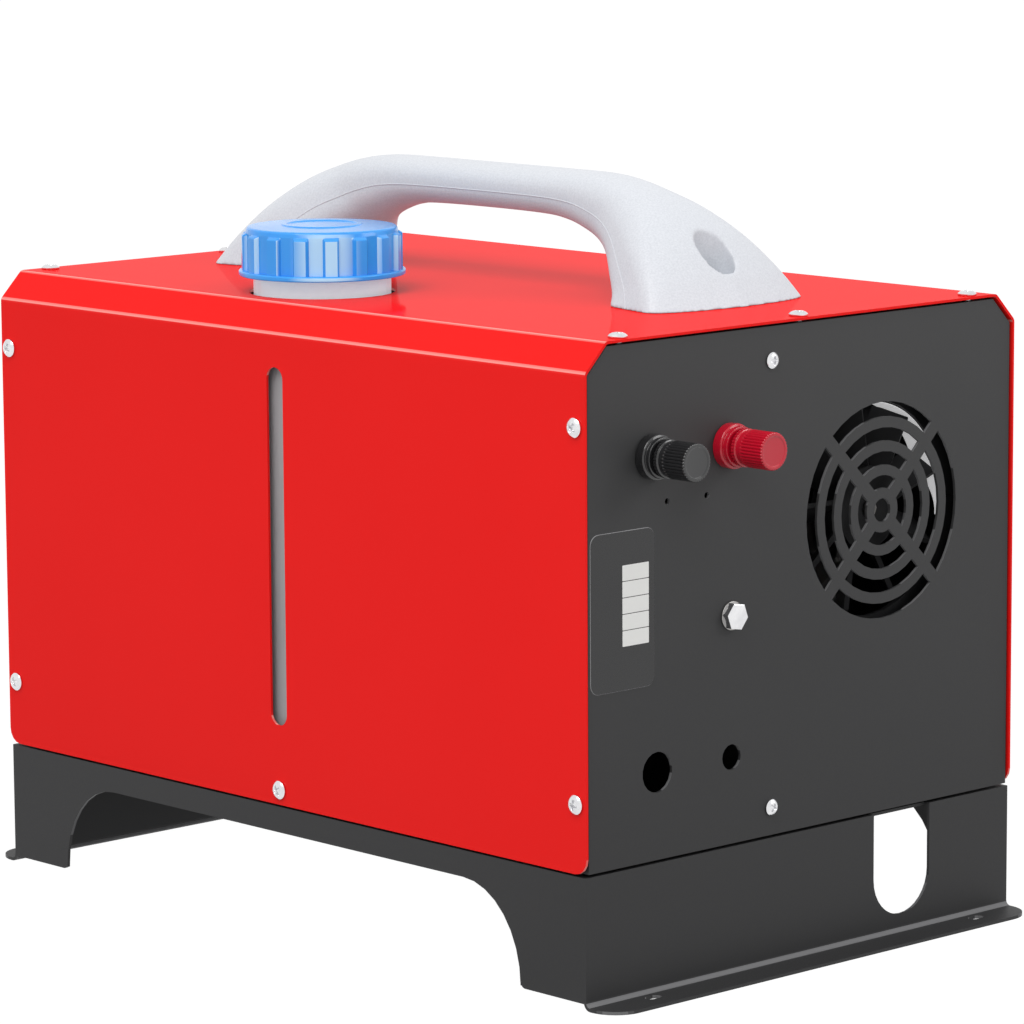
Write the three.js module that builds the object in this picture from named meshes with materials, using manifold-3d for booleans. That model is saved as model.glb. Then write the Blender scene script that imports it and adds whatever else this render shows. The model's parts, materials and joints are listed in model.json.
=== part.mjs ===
// Diesel air heater in a carrying case: a red sheet cover over a fuel tank and a hot-air blower.
// Units are millimetres, +Z is up, the rear panel with the intake grille faces +Y, the side with
// the fuel slot faces +X, and the origin is on the ground under the middle of the case.

import * as THREE from 'three';
import { mergeVertices } from 'three/addons/utils/BufferGeometryUtils.js';
import Module from 'manifold-3d';

const wasm = await Module();
wasm.setup();

// ---------------------------------------------------------------- driving dimensions

// General clearances and how finely round things are stepped
const seat = 0.3;               // gap between pieces that rest on each other
const cut = 1;                  // how far a cutting tool runs past the face it cuts
const fineSteps = 28;
const roundSteps = 18;
const smallSteps = 8;

// Red cover
const coverLength = 420;
const coverWidth = 283;
const coverTop = 300;
const coverBottom = 61.7;
const coverChamferAcross = 13;
const coverChamferDown = 13.2;
const coverSheet = 1.2;
const coverBend = 3;
const coverFoldCorner = 7.5;
const slotWidth = 11.4;
const slotLow = 100;
const slotHigh = coverTop - 29;

// Stand
const standTop = 60.5;
const standSheet = 1.5;
const standSideInset = 0.5;
const standEndInset = 1.2;
const flangeReach = 18.5;
const flangeCorner = 15;
const flangeBend = 2.5;
const flangeSlotXs = [-111, 106];
const flangeSlotInset = 11.4;
const flangeSlotLength = 9;
const flangeSlotWidth = 5;
const footGap = 3;              // from the ground to the ends of the long sides' feet
const footCorner = 3;
const archTop = 48;
const archHalf = 166;
const archCornerAcross = 38;
const archCornerDown = 44;
const pipeCutX = -66;
const pipeCutHalf = 19.3;
const pipeCutLow = 9.8;
const pipeCutDepth = 3;

// End panels
const panelSheet = 1.4;
const panelInset = 1;           // how far the panel's face lies inside the cover's edge
const panelFlange = 15;
const panelEdgeGap = 1.2;

// Screws
const screwHead = 4.45;
const screwHeadHeight = 2.4;
const screwShank = 2;
const screwLength = 10;
const screwHole = 2.35;
const screwFromEnd = 6.5;       // from the cover's end to a row of screws
const sideScrewHigh = coverTop - 37.5;
const sideScrewLow = coverBottom + 31.8;
const topScrewX = 115;
const skirtScrewZ = coverBottom + 7.3;

// Intake grille in the rear panel
const heaterX = -51;
const heaterZ = coverTop - 95;
const grilleCentreHole = 5.6;
const grilleRings = [[10.5, 16.5], [21.4, 27.7], [32.7, 38.9], [44, 51]];
const grilleSpoke = 6.4;

// Rear panel fittings
const postZ = coverTop - 54;
const postBlackX = 99.8;
const postRedX = 51;
const cableHoleX = 96.3;
const cableHoleZ = 102.3;
const cableHoleRadius = 9.4;
const leadHoleX = 48.9;
const leadHoleRadius = 6;
const rivetHoleXs = [64.8, 89.8];
const rivetHoleZ = postZ - 21.3;
const rivetHoleRadius = 1.6;
const panelScrewFromPartition = 6;
const panelScrewHigh = coverTop - 18;
const panelScrewLow = coverBottom + 13.3;

// Terminals
const postBaseRadius = 10.4;
const postBaseLength = 9.3;
const postStudRadius = 2.5;
const postStudLength = 24;
const postStudTail = 16;
const postSleeveWall = 1.6;
const postCapRadius = 8.7;
const postCapLength = 19;
const postCapFlutes = 20;
const postCapFluteDepth = 0.6;
const postCapEnd = 2;

// Partition and tank
const partitionGap = 10;          // from the heater's casing to the partition
const partitionSheet = 1.2;
const partitionTab = 14;
const tankLength = 250;
const tankMiddleY = -30;
const tankTop = coverTop - 12;
const tankWall = 3;
const tankCorner = 14;
const tankSideGap = 3;
const tankCoverGap = 3.1;
const neckRadius = 33;
const neckWall = 4;
const neckTop = coverTop + 25;
const neckHoleGap = 2.2;
const spigotRadius = 4;
const spigotBore = 2.5;
const spigotReach = 12;
const spigotZ = 85;

// Fuel cap
const capBottom = neckTop - 16.7;
const capTop = capBottom + 23.7;
const capBodyRadius = 36.6;
const capRibRadius = 38.4;
const capRibs = 16;
const capRibPhase = 11;         // degrees
const capRibLow = 3;
const capRibHigh = 20.6;
const capFlangeRadius = 40;
const capTopRadius = 34.6;
const capTopWall = 4;
const capThreadGap = 0.5;
const capGasketThickness = 2;

// Handle
const handleX = -8;
const handleY = -6.5;
const handleHalfLength = 168.4;
const handleRise = 57;           // from the cover to the top of the grip
const handleGripWidth = 34;
const handleGripHeight = 21.5;
const handleFootWidth = 104;
const handleFootDepth = 50;
const handleInnerTaper = 0.18;
const handleScrewY = 148;
const handleScrewBore = 2.4;
const handleRecess = 9.5;
const handleRecessDepth = 9;     // from the cover to the floor of a screw's recess

// Heater
const casingWidth = 140;
const casingHeight = 144;
const casingCorner = 26;
const casingWall = 2.5;
const casingRear = 200;
const casingFront = -170;
const casingInlet = 51;
const outletNeck = 45;
const outletNeckReach = 35;
const exchangerRear = 146;
const exchangerFront = -150;
const exchangerWall = 5;
const exchangerRadius = 47;
const exchangerFin = 61;
const exchangerFins = 14;
const finThickness = 3;
const blowerRecess = 24;
const blowerRecessRadius = 44;
const footWidth = 84;
const footFront = 30;
const exhaustY = 56;
const intakeY = 131;
const exhaustRadius = 12;
const exhaustBore = 10;
const intakeRadius = 11;
const intakeBore = 8.5;
const stubLow = 39;
const stubGap = 1;
const fuelInletY = 95;
const fuelInletRadius = 3.5;
const burnerRadius = 36;
const burnerWall = 2;
const burnerFlange = 4;
const burnerLength = 122;
const burnerAirHole = 12;
const plugAngle = 40;           // degrees from upright
const plugY = 100;
const plugRadius = 5;
const motorRadius = 28;
const motorFlange = 4;
const motorLength = 30;
const motorFlangeRadius = 50;
const shaftRadius = 4;
const impellerRadius = 41;
const impellerLength = 12;
const impellerDisc = 2;
const impellerGap = 2;
const fanRadius = 49;
const fanHub = 20;
const fanBlades = 9;
const fanLength = 18;
const fanBladeThickness = 2.4;
const fanGap = 2;
const shaftTail = 1.5;
const controlWidth = 78;
const controlLength = 26;
const controlHeight = 27;
const gasketThickness = 2;
const bracketSheet = 2;
const bracketWidth = 122;
const bracketFoot = 11;
const bracketEnd = 12;

// Fuel supply
const hoseRadius = 2.5;
const filterRadius = 11;
const filterLength = 46;
const filterFromSide = 23.5;
const filterY = 140;
const filterLow = 103;
const nippleRadius = 3;
const nippleReach = 9;
const pumpRadius = 16;
const pumpLength = 56;
const pumpFromPartition = 9;
const pumpY = 168;
const boltFromPump = 11;
const boltZ = heaterZ - 37.2;
const boltAcross = 12;
const boltHeadHeight = 4.6;
const boltShank = 3;
const boltLength = 18;
const mountWall = 4;
const mountWidth = 22;

// Hot-air outlet in the front panel
const collarRadius = 58;
const collarSocket = 53;
const collarFlange = 3;
const collarDepth = 14;
const collarLip = 3.2;
const swivelOuter = 47;
const swivelWall = 3.5;
const swivelFlange = 3.4;
const swivelFlangeThickness = 3;
const swivelFront = 237.9;      // how far in front of the middle the swivel ends
const louvreSpacing = 22;
const louvreDepth = 15;
const louvreThickness = 2.2;
const louvreSwing = 35;         // degrees
const louvrePin = 1.5;
const louvrePinReach = 1.8;

// Controller on the front panel
const controllerX = 74;
const controllerZ = coverTop - 59;
const controllerWidth = 108;
const controllerHeight = 64;
const controllerDepth = 17.5;
const controllerWall = 2;
const controllerCorner = 7;
const windowWidth = 58;
const windowHeight = 38;
const windowRebate = 1.2;
const windowLip = 2;
const boardThickness = 1.6;
const boardGap = 1.5;
const buttonRadius = 5;
const buttonReach = 1.4;
const buttonEase = 0.6;
const buttonFlange = 1.4;
const buttonFlangeThickness = 1;
const buttonX = 42;
const buttonZ = 12;

// ---------------------------------------------------------------- shapes worked out from them

const coverHalf = coverWidth / 2;
const coverEnd = coverLength / 2;
const standHalfWidth = coverHalf - standSideInset;
const standHalfLength = coverEnd - standEndInset;
const panelFace = coverEnd - panelInset;
const panelBack = panelFace - panelSheet;
const screwRow = coverEnd - screwFromEnd;
const partitionX = heaterX + casingWidth / 2 + partitionGap;
const panelScrewX = partitionX - panelScrewFromPartition;
const tankLeft = partitionX + partitionSheet + tankSideGap;
const tankRight = coverHalf - coverSheet - tankCoverGap;
const tankWidth = tankRight - tankLeft;
const tankX = (tankLeft + tankRight) / 2;
const filterX = coverHalf - filterFromSide;
const pumpX = partitionX + pumpFromPartition;
const boltX = pumpX + boltFromPump;
const tankBottom = standTop + seat;
const tankRear = tankMiddleY + tankLength / 2;
const topScrewXs = [-topScrewX, 0, topScrewX];
const handleTop = coverTop + handleRise;
const handleRecessFloor = coverTop + handleRecessDepth;

// ---------------------------------------------------------------- helpers

// A closed three.js geometry as a solid that can be joined and cut.
function solid(geometry) {
  const bare = geometry.clone();
  bare.deleteAttribute('normal');
  bare.deleteAttribute('uv');
  const merged = mergeVertices(bare, 1e-4);
  return new wasm.Manifold(new wasm.Mesh({
    numProp: 3,
    vertProperties: new Float32Array(merged.attributes.position.array),
    triVerts: new Uint32Array(merged.index.array),
  }));
}

// A solid back as a three.js geometry.
function geometryOf(body) {
  const mesh = body.getMesh();
  const geometry = new THREE.BufferGeometry();
  geometry.setAttribute('position', new THREE.BufferAttribute(new Float32Array(mesh.vertProperties), 3));
  geometry.setIndex(new THREE.BufferAttribute(new Uint32Array(mesh.triVerts), 1));
  geometry.computeVertexNormals();
  return geometry;
}

function joined(...bodies) {
  return bodies.reduce((whole, body) => whole.add(body));
}

function without(body, ...tools) {
  return tools.reduce((rest, tool) => rest.subtract(tool), body);
}

function box(low, high) {
  const geometry = new THREE.BoxGeometry(high[0] - low[0], high[1] - low[1], high[2] - low[2]);
  geometry.translate((low[0] + high[0]) / 2, (low[1] + high[1]) / 2, (low[2] + high[2]) / 2);
  return solid(geometry);
}

// Shapes drawn flat are pushed along one of the three axes, from one place to another.
const drawnFacing = {
  x: new THREE.Matrix4().makeBasis(
    new THREE.Vector3(0, 1, 0), new THREE.Vector3(0, 0, 1), new THREE.Vector3(1, 0, 0)),
  y: new THREE.Matrix4().makeBasis(
    new THREE.Vector3(1, 0, 0), new THREE.Vector3(0, 0, 1), new THREE.Vector3(0, -1, 0)),
  z: new THREE.Matrix4(),
};

// Along x the shape is drawn in (y, z), along y in (x, z) and along z in (x, y).
function pushed(shape, axis, low, high, curveSegments = 3) {
  const depth = high - low;
  const geometry = new THREE.ExtrudeGeometry(shape, { depth, bevelEnabled: false, curveSegments });
  geometry.applyMatrix4(drawnFacing[axis]);
  const start = axis === 'y' ? high : low;
  geometry.translate(axis === 'x' ? start : 0, axis === 'y' ? start : 0, axis === 'z' ? start : 0);
  return solid(geometry);
}

// A profile of [radius, height] points turned about the z axis, or about y with its height along +Y.
function turned(profile, steps = roundSteps, axis = 'z') {
  const points = profile.map(([radius, height]) => new THREE.Vector2(radius, height));
  const geometry = new THREE.LatheGeometry(points, steps);
  if (axis === 'z') {
    geometry.rotateX(Math.PI / 2);
  }
  return solid(geometry);
}

function rod(radius, low, high, steps = roundSteps, axis = 'z') {
  return turned([[0, low], [radius, low], [radius, high], [0, high]], steps, axis);
}

function tubeRing(inner, outer, low, high, steps = roundSteps, axis = 'z') {
  return turned([[inner, low], [outer, low], [outer, high], [inner, high], [inner, low]], steps, axis);
}

// A rod along x, y or z through a point.
function pinAlong(axis, radius, low, high, at, steps = smallSteps) {
  const geometry = new THREE.CylinderGeometry(radius, radius, high - low, steps);
  geometry.translate(0, (low + high) / 2, 0);
  if (axis === 'x') {
    geometry.rotateZ(-Math.PI / 2);
  }
  if (axis === 'z') {
    geometry.rotateX(Math.PI / 2);
  }
  geometry.translate(at[0], at[1], at[2]);
  return solid(geometry);
}

function polygon(points) {
  return new THREE.Shape(points.map(([x, y]) => new THREE.Vector2(x, y)));
}

function roundedRectangle(x, y, halfWidth, halfHeight, radius) {
  const shape = new THREE.Shape();
  shape.absarc(x + halfWidth - radius, y + halfHeight - radius, radius, 0, Math.PI / 2);
  shape.absarc(x - halfWidth + radius, y + halfHeight - radius, radius, Math.PI / 2, Math.PI);
  shape.absarc(x - halfWidth + radius, y - halfHeight + radius, radius, Math.PI, Math.PI * 1.5);
  shape.absarc(x + halfWidth - radius, y - halfHeight + radius, radius, Math.PI * 1.5, Math.PI * 2);
  return shape;
}

// A rounded block whose corners and edges all have one radius, standing along an axis.
function roundedBlock(x, y, halfWidth, halfHeight, radius, axis, low, high, steps = 3) {
  const shape = roundedRectangle(x, y, halfWidth - radius, halfHeight - radius, 0.01);
  const geometry = new THREE.ExtrudeGeometry(shape, {
    depth: high - low - 2 * radius, bevelThickness: radius, bevelSize: radius,
    bevelSegments: steps, curveSegments: 1, steps: 1,
  });
  geometry.applyMatrix4(drawnFacing[axis]);
  const start = axis === 'y' ? high - radius : low + radius;
  geometry.translate(axis === 'x' ? start : 0, axis === 'y' ? start : 0, axis === 'z' ? start : 0);
  return solid(geometry);
}

// A smooth tube through points, with round ends left square to the path.
function hose(points, radius) {
  const path = new THREE.CatmullRomCurve3(points.map(([x, y, z]) => new THREE.Vector3(x, y, z)));
  const section = new THREE.Shape();
  section.absarc(0, 0, radius, 0, Math.PI * 2);
  return new THREE.ExtrudeGeometry(section, {
    extrudePath: path, steps: 3 * (points.length - 1), curveSegments: 3, bevelEnabled: false,
  });
}

function material(color, roughness, metalness = 0) {
  return new THREE.MeshStandardMaterial({ color, roughness, metalness });
}

const heater = new THREE.Group();

function part(name, geometry, look, parent = heater) {
  const mesh = new THREE.Mesh(geometry, look);
  mesh.name = name;
  parent.add(mesh);
  return mesh;
}

function partOf(name, body, look, parent = heater) {
  return part(name, geometryOf(body), look, parent);
}

// A group whose own +Y points along a direction from a point.
function facing(x, y, z, turn = 0) {
  const group = new THREE.Group();
  group.position.set(x, y, z);
  group.rotation.z = turn;
  heater.add(group);
  return group;
}

const looks = {
  redPaint: material(0xe82524, 0.35),
  blackPaint: material(0x464648, 0.6),
  greyPlastic: material(0xd9dadd, 0.5),
  milkyPlastic: material(0xeeeeea, 0.45),
  bluePlastic: material(0x2f86e8, 0.35),
  blackPlastic: material(0x1c1c1e, 0.5),
  glossBlack: material(0x0c0c0e, 0.2),
  redPlastic: material(0xb0101c, 0.2),
  nickel: material(0xd8d8d8, 0.3, 1),
  castAluminium: material(0xa8aaac, 0.5, 1),
  steel: material(0x9a9a98, 0.4, 1),
  rubber: material(0x202020, 0.85),
  greenBoard: material(0x1f5a32, 0.5),
  fuelHose: material(0x2c6fb0, 0.4),
  screenGlass: material(0x101418, 0.08),
};

// ---------------------------------------------------------------- cover

// Points of an open path with its corners rounded to arcs.
function filleted(points, radius, steps) {
  const rounded = [new THREE.Vector2(...points[0])];
  for (let i = 1; i < points.length - 1; i += 1) {
    const corner = new THREE.Vector2(...points[i]);
    const back = new THREE.Vector2(...points[i - 1]).sub(corner).normalize();
    const ahead = new THREE.Vector2(...points[i + 1]).sub(corner).normalize();
    const half = Math.acos(back.dot(ahead)) / 2;
    const centre = back.clone().add(ahead).normalize().multiplyScalar(radius / Math.sin(half)).add(corner);
    const start = corner.clone().addScaledVector(back, radius / Math.tan(half)).sub(centre);
    const sweep = Math.PI - 2 * half;
    const sign = Math.sign(back.cross(ahead)) * -1;
    for (let k = 0; k <= steps; k += 1) {
      rounded.push(start.clone().rotateAround(new THREE.Vector2(), sign * sweep * k / steps).add(centre));
    }
  }
  rounded.push(new THREE.Vector2(...points[points.length - 1]));
  return rounded;
}

// The case's section as an open path over the top, drawn in (x, z), set inwards by a distance.
function casePath(inset, low) {
  const half = coverHalf - inset;
  const top = coverTop - inset;
  const slope = Math.atan2(coverChamferDown, coverChamferAcross);
  const across = coverChamferAcross - inset * Math.tan(slope / 2);
  const down = coverChamferDown - inset * Math.tan((Math.PI / 2 - slope) / 2);
  return [[half, low], [half, top - down], [half - across, top],
    [across - half, top], [-half, top - down], [-half, low]];
}

function makeCover() {
  const outer = filleted(casePath(0, coverBottom), coverBend, 3);
  const inner = filleted(casePath(coverSheet, coverBottom), coverBend - coverSheet, 3);
  const sheet = new THREE.Shape([...outer, ...inner.reverse()]);
  const blank = pushed(sheet, 'y', -coverEnd, coverEnd);
  const slotHalf = (slotHigh - slotLow) / 2;
  const slot = roundedRectangle(0, (slotLow + slotHigh) / 2, slotWidth / 2, slotHalf, slotWidth / 2 - 0.01);
  const tools = [
    pushed(slot, 'x', coverHalf - 2 * coverSheet, coverHalf + cut),
    rod(neckRadius + neckHoleGap, coverTop - 2 * coverSheet, coverTop + cut, fineSteps)
      .translate([tankX, tankMiddleY, 0]),
  ];
  for (const end of [-1, 1]) {
    for (const z of [sideScrewHigh, sideScrewLow]) {
      tools.push(pinAlong('x', screwHole, -coverHalf - cut, coverHalf + cut, [0, end * screwRow, z], 8));
    }
    for (const x of topScrewXs) {
      tools.push(pinAlong('z', screwHole, coverTop - 2 * coverSheet, coverTop + cut,
        [x, end * screwRow, 0], 8));
    }
    tools.push(pinAlong('z', handleScrewBore, coverTop - 2 * coverSheet, coverTop + cut,
      [handleX, handleY + end * handleScrewY, 0], 8));
    // The lower corners of both long sides are rounded.
    const corner = new THREE.Shape();
    corner.moveTo(end * (coverEnd + cut), coverBottom - cut);
    corner.lineTo(end * (coverEnd + cut), coverBottom + coverFoldCorner);
    corner.lineTo(end * coverEnd, coverBottom + coverFoldCorner);
    corner.absarc(end * (coverEnd - coverFoldCorner), coverBottom + coverFoldCorner, coverFoldCorner,
      end > 0 ? 0 : Math.PI, -Math.PI / 2 + (end > 0 ? 0 : 2 * Math.PI), end > 0);
    corner.lineTo(end * (coverEnd - coverFoldCorner), coverBottom - cut);
    tools.push(pushed(corner, 'x', -coverHalf - cut, coverHalf + cut, 2));
  }
  tools.push(pinAlong('x', screwHole, -coverHalf - cut, coverHalf + cut, [0, 0, skirtScrewZ], 8));
  return without(blank, ...tools);
}

partOf('cover', makeCover(), looks.redPaint);

// ---------------------------------------------------------------- stand

// The rear end's flange with the bend that joins it to the wall, drawn in (y, z) for the bend.
function makeFlange() {
  const bendY = standHalfLength + flangeBend;
  const bendZ = standSheet + flangeBend;
  const bend = new THREE.Shape();
  bend.moveTo(standHalfLength, bendZ + cut);
  bend.lineTo(standHalfLength - standSheet, bendZ + cut);
  bend.lineTo(standHalfLength - standSheet, bendZ);
  bend.absarc(bendY, bendZ, bendZ, Math.PI, Math.PI * 1.5);
  bend.lineTo(bendY + cut, 0);
  bend.lineTo(bendY + cut, standSheet);
  bend.lineTo(bendY, standSheet);
  bend.absarc(bendY, bendZ, flangeBend, Math.PI * 1.5, Math.PI, true);
  const edge = standHalfLength + flangeReach;
  const outline = new THREE.Shape();
  outline.moveTo(-standHalfWidth, bendY);
  outline.lineTo(standHalfWidth, bendY);
  outline.lineTo(standHalfWidth, edge - flangeCorner);
  outline.absarc(standHalfWidth - flangeCorner, edge - flangeCorner, flangeCorner, 0, Math.PI / 2);
  outline.absarc(flangeCorner - standHalfWidth, edge - flangeCorner, flangeCorner, Math.PI / 2, Math.PI);
  const plate = pushed(outline, 'z', 0, standSheet, 4);
  const slots = flangeSlotXs.map((x) => pushed(
    roundedRectangle(x, edge - flangeSlotInset, flangeSlotLength / 2, flangeSlotWidth / 2,
      flangeSlotWidth / 2 - 0.01), 'z', -cut, standSheet + cut, 1));
  return without(joined(plate, pushed(bend, 'x', -standHalfWidth, standHalfWidth, 3)), ...slots);
}

// The arch cut through a long side between its two feet, whose corners are rounded.
function archOutline() {
  const arch = new THREE.Shape();
  arch.moveTo(-archHalf - footCorner, -cut);
  arch.lineTo(archHalf + footCorner, -cut);
  arch.lineTo(archHalf + footCorner, footGap);
  arch.absarc(archHalf + footCorner, footGap + footCorner, footCorner, Math.PI * 1.5, Math.PI, true);
  arch.lineTo(archHalf, archTop - archCornerDown);
  arch.absellipse(archHalf - archCornerAcross, archTop - archCornerDown,
    archCornerAcross, archCornerDown, 0, Math.PI / 2);
  arch.absellipse(archCornerAcross - archHalf, archTop - archCornerDown,
    archCornerAcross, archCornerDown, Math.PI / 2, Math.PI);
  arch.lineTo(-archHalf, footGap + footCorner);
  arch.absarc(-archHalf - footCorner, footGap + footCorner, footCorner, 0, -Math.PI / 2, true);
  return arch;
}

function makeStand() {
  const outer = box([-standHalfWidth, -standHalfLength, 0], [standHalfWidth, standHalfLength, standTop]);
  const inside = box(
    [standSheet - standHalfWidth, standSheet - standHalfLength, -cut],
    [standHalfWidth - standSheet, standHalfLength - standSheet, standTop - standSheet]);
  const belowFeet = box([-standHalfWidth - cut, -standHalfLength - cut, -cut],
    [standHalfWidth + cut, standHalfLength + cut, footGap]);
  const bendRoom = box(
    [standSheet - standHalfWidth, -standHalfLength - cut, -cut],
    [standHalfWidth - standSheet, standHalfLength + cut, standSheet + flangeBend]);
  const tools = [inside, belowFeet, bendRoom,
    pushed(archOutline(), 'x', -standHalfWidth - cut, standHalfWidth + cut, 4)];
  for (const [y, radius] of [[exhaustY, exhaustRadius], [intakeY, intakeRadius]]) {
    tools.push(rod(radius + stubGap, standTop - 2 * standSheet, standTop + cut).translate([heaterX, y, 0]));
  }
  const flange = makeFlange();
  const pipeCut = new THREE.Shape();
  pipeCut.moveTo(pipeCutX - pipeCutHalf, standTop + cut);
  pipeCut.lineTo(pipeCutX - pipeCutHalf, pipeCutLow + pipeCutHalf);
  pipeCut.absarc(pipeCutX, pipeCutLow + pipeCutHalf, pipeCutHalf, Math.PI, Math.PI * 2);
  pipeCut.lineTo(pipeCutX + pipeCutHalf, standTop + cut);
  return joined(without(outer, ...tools), flange, flange.mirror([0, 1, 0]))
    .subtract(pushed(pipeCut, 'y', standHalfLength - pipeCutDepth, standHalfLength + cut, 8));
}

partOf('stand', makeStand(), looks.blackPaint);

// ---------------------------------------------------------------- end panels

// The panel's outline inside the cover, drawn in (x, z), set in by a further distance.
function panelOutline(inset) {
  const path = casePath(coverSheet + panelEdgeGap + inset, standTop + seat + panelEdgeGap + inset);
  return polygon(path);
}

// The folded panel without its holes, with its face at y = 0 and its flanges running to -Y.
function panelBlank() {
  const face = pushed(panelOutline(0), 'y', -panelSheet, 0);
  const rim = panelOutline(0);
  rim.holes.push(new THREE.Path(panelOutline(panelSheet).getPoints().reverse()));
  return joined(face, pushed(rim, 'y', -panelFlange, 0));
}

function cornerScrewHoles(panel) {
  const y = panelFace - screwRow;
  const tools = [];
  for (const z of [sideScrewHigh, sideScrewLow]) {
    tools.push(pinAlong('x', screwHole, -coverHalf, coverHalf, [0, -y, z], 8));
  }
  for (const x of topScrewXs) {
    tools.push(pinAlong('z', screwHole, coverTop - 4 * coverSheet, coverTop, [x, -y, 0], 8));
  }
  return without(panel, ...tools);
}

// One slot of the grille: a quarter ring between two straight spokes.
function grilleSlot(inner, outer, quarter) {
  const spoke = grilleSpoke / 2;
  const middle = quarter * Math.PI / 2;
  const wide = Math.PI / 4 - Math.asin(spoke / outer);
  const narrow = Math.PI / 4 - Math.asin(spoke / inner);
  const slot = new THREE.Shape();
  slot.absarc(heaterX, heaterZ, outer, middle - wide, middle + wide);
  slot.absarc(heaterX, heaterZ, inner, middle + narrow, middle - narrow, true);
  return slot;
}

function makeRearPanel() {
  const through = (radius, x, z, steps = smallSteps) => (
    pinAlong('y', radius, -panelSheet - cut, cut, [x, 0, z], steps));
  const tools = [through(grilleCentreHole, heaterX, heaterZ, 16)];
  for (const [inner, outer] of grilleRings) {
    for (let quarter = 0; quarter < 4; quarter += 1) {
      const steps = Math.round(2 + outer / 20);
      tools.push(pushed(grilleSlot(inner, outer, quarter), 'y', -panelSheet - cut, cut, steps));
    }
  }
  tools.push(through(cableHoleRadius, cableHoleX, cableHoleZ, roundSteps));
  tools.push(through(leadHoleRadius, leadHoleX, cableHoleZ, 16));
  for (const x of rivetHoleXs) {
    tools.push(through(rivetHoleRadius, x, rivetHoleZ, 8));
  }
  for (const x of [postBlackX, postRedX]) {
    tools.push(through(postStudRadius + seat, x, postZ));
  }
  tools.push(through(boltShank + seat, boltX, boltZ));
  for (const z of [panelScrewHigh, panelScrewLow]) {
    tools.push(through(screwHole, panelScrewX, z, 8));
  }
  return without(cornerScrewHoles(panelBlank()), ...tools);
}

const rear = facing(0, panelFace, 0);
partOf('rear_panel', makeRearPanel(), looks.blackPaint, rear);

// The front panel is folded the same way and faces -Y, with openings for the outlet and the leads.
function makeFrontPanel() {
  const outletHole = rod(swivelOuter + seat, -panelSheet - cut, cut, fineSteps, 'y')
    .translate([-heaterX, 0, heaterZ]);
  const leadHole = pinAlong('y', leadHoleRadius, -panelSheet - cut, cut, [-controllerX, 0, controllerZ], 16);
  return without(cornerScrewHoles(panelBlank()), outletHole, leadHole);
}

const front = facing(0, -panelFace, 0, Math.PI);
partOf('front_panel', makeFrontPanel(), looks.blackPaint, front);

// ---------------------------------------------------------------- screws

// A pan head screw whose axis is +Y: the head stands out, the shank runs inwards from y = 0.
function panScrew(length) {
  return turned([
    [0, -length], [screwShank * 0.6, -length], [screwShank, screwShank - length], [screwShank, 0],
    [screwHead, 0], [screwHead, screwHeadHeight * 0.35], [screwHead * 0.8, screwHeadHeight * 0.8],
    [screwHead * 0.4, screwHeadHeight], [0, screwHeadHeight]], smallSteps, 'y');
}

for (const [side, sideName] of [[1, 'right'], [-1, 'left']]) {
  for (const [end, endName] of [[1, 'rear'], [-1, 'front']]) {
    for (const [z, levelName] of [[sideScrewHigh, 'upper'], [sideScrewLow, 'lower']]) {
      const place = facing(side * (coverHalf + seat), end * screwRow, z, -side * Math.PI / 2);
      partOf(`cover_screw_${sideName}_${endName}_${levelName}`, panScrew(screwLength), looks.nickel, place);
    }
  }
}

for (const [z, levelName] of [[panelScrewHigh, 'upper'], [panelScrewLow, 'lower']]) {
  partOf(`panel_screw_${levelName}`, panScrew(screwLength), looks.nickel,
    facing(panelScrewX, panelFace + seat, z));
}

// ---------------------------------------------------------------- partition

// An upright sheet between the two bays, with a tab folded at each end for the panels' screws.
function makePartition() {
  const reach = panelBack - seat;
  const low = standTop + seat;
  const high = coverTop - coverSheet - panelSheet - panelEdgeGap - seat;
  const tabLow = low + panelSheet + panelEdgeGap + seat;
  let sheet = box([partitionX, -reach, tabLow], [partitionX + partitionSheet, reach, high - seat]);
  sheet = sheet.add(box([partitionX, panelFlange - reach, low],
    [partitionX + partitionSheet, reach - panelFlange, tabLow + cut]));
  for (const end of [-1, 1]) {
    const outside = end * reach;
    const tab = box(
      [partitionX - partitionTab, Math.min(outside, outside - end * partitionSheet), tabLow],
      [partitionX + partitionSheet, Math.max(outside, outside - end * partitionSheet), high - seat]);
    sheet = sheet.add(tab);
  }
  const tools = [
    pinAlong('x', hoseRadius + 2, partitionX - cut, partitionX + partitionSheet + cut, [0, pumpY, boltZ]),
  ];
  for (const z of [panelScrewHigh, panelScrewLow]) {
    tools.push(pinAlong('y', screwHole, -reach - cut, reach + cut, [panelScrewX, 0, z], 8));
  }
  return without(sheet, ...tools);
}

partOf('partition', makePartition(), looks.blackPaint);

// ---------------------------------------------------------------- fuel tank and cap

function makeTank() {
  const middleZ = (tankTop + tankBottom) / 2;
  const shell = roundedBlock(tankX, middleZ, tankWidth / 2, tankTop - middleZ, tankCorner, 'y',
    tankMiddleY - tankLength / 2, tankRear);
  const hollow = roundedBlock(tankX, middleZ, tankWidth / 2 - tankWall, tankTop - middleZ - tankWall,
    tankCorner - tankWall, 'y', tankMiddleY - tankLength / 2 + tankWall, tankRear - tankWall);
  const neck = rod(neckRadius, tankTop - tankWall, neckTop, fineSteps).translate([tankX, tankMiddleY, 0]);
  const mouth = rod(neckRadius - neckWall, tankTop - 2 * tankWall, neckTop + cut, fineSteps)
    .translate([tankX, tankMiddleY, 0]);
  const spigot = pinAlong('y', spigotRadius, tankRear - tankWall, tankRear + spigotReach,
    [tankX, 0, spigotZ]);
  const spigotHole = pinAlong('y', spigotBore, tankRear - 2 * tankWall, tankRear + spigotReach + cut,
    [tankX, 0, spigotZ]);
  return without(joined(shell, neck, spigot), hollow, mouth, spigotHole);
}

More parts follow.
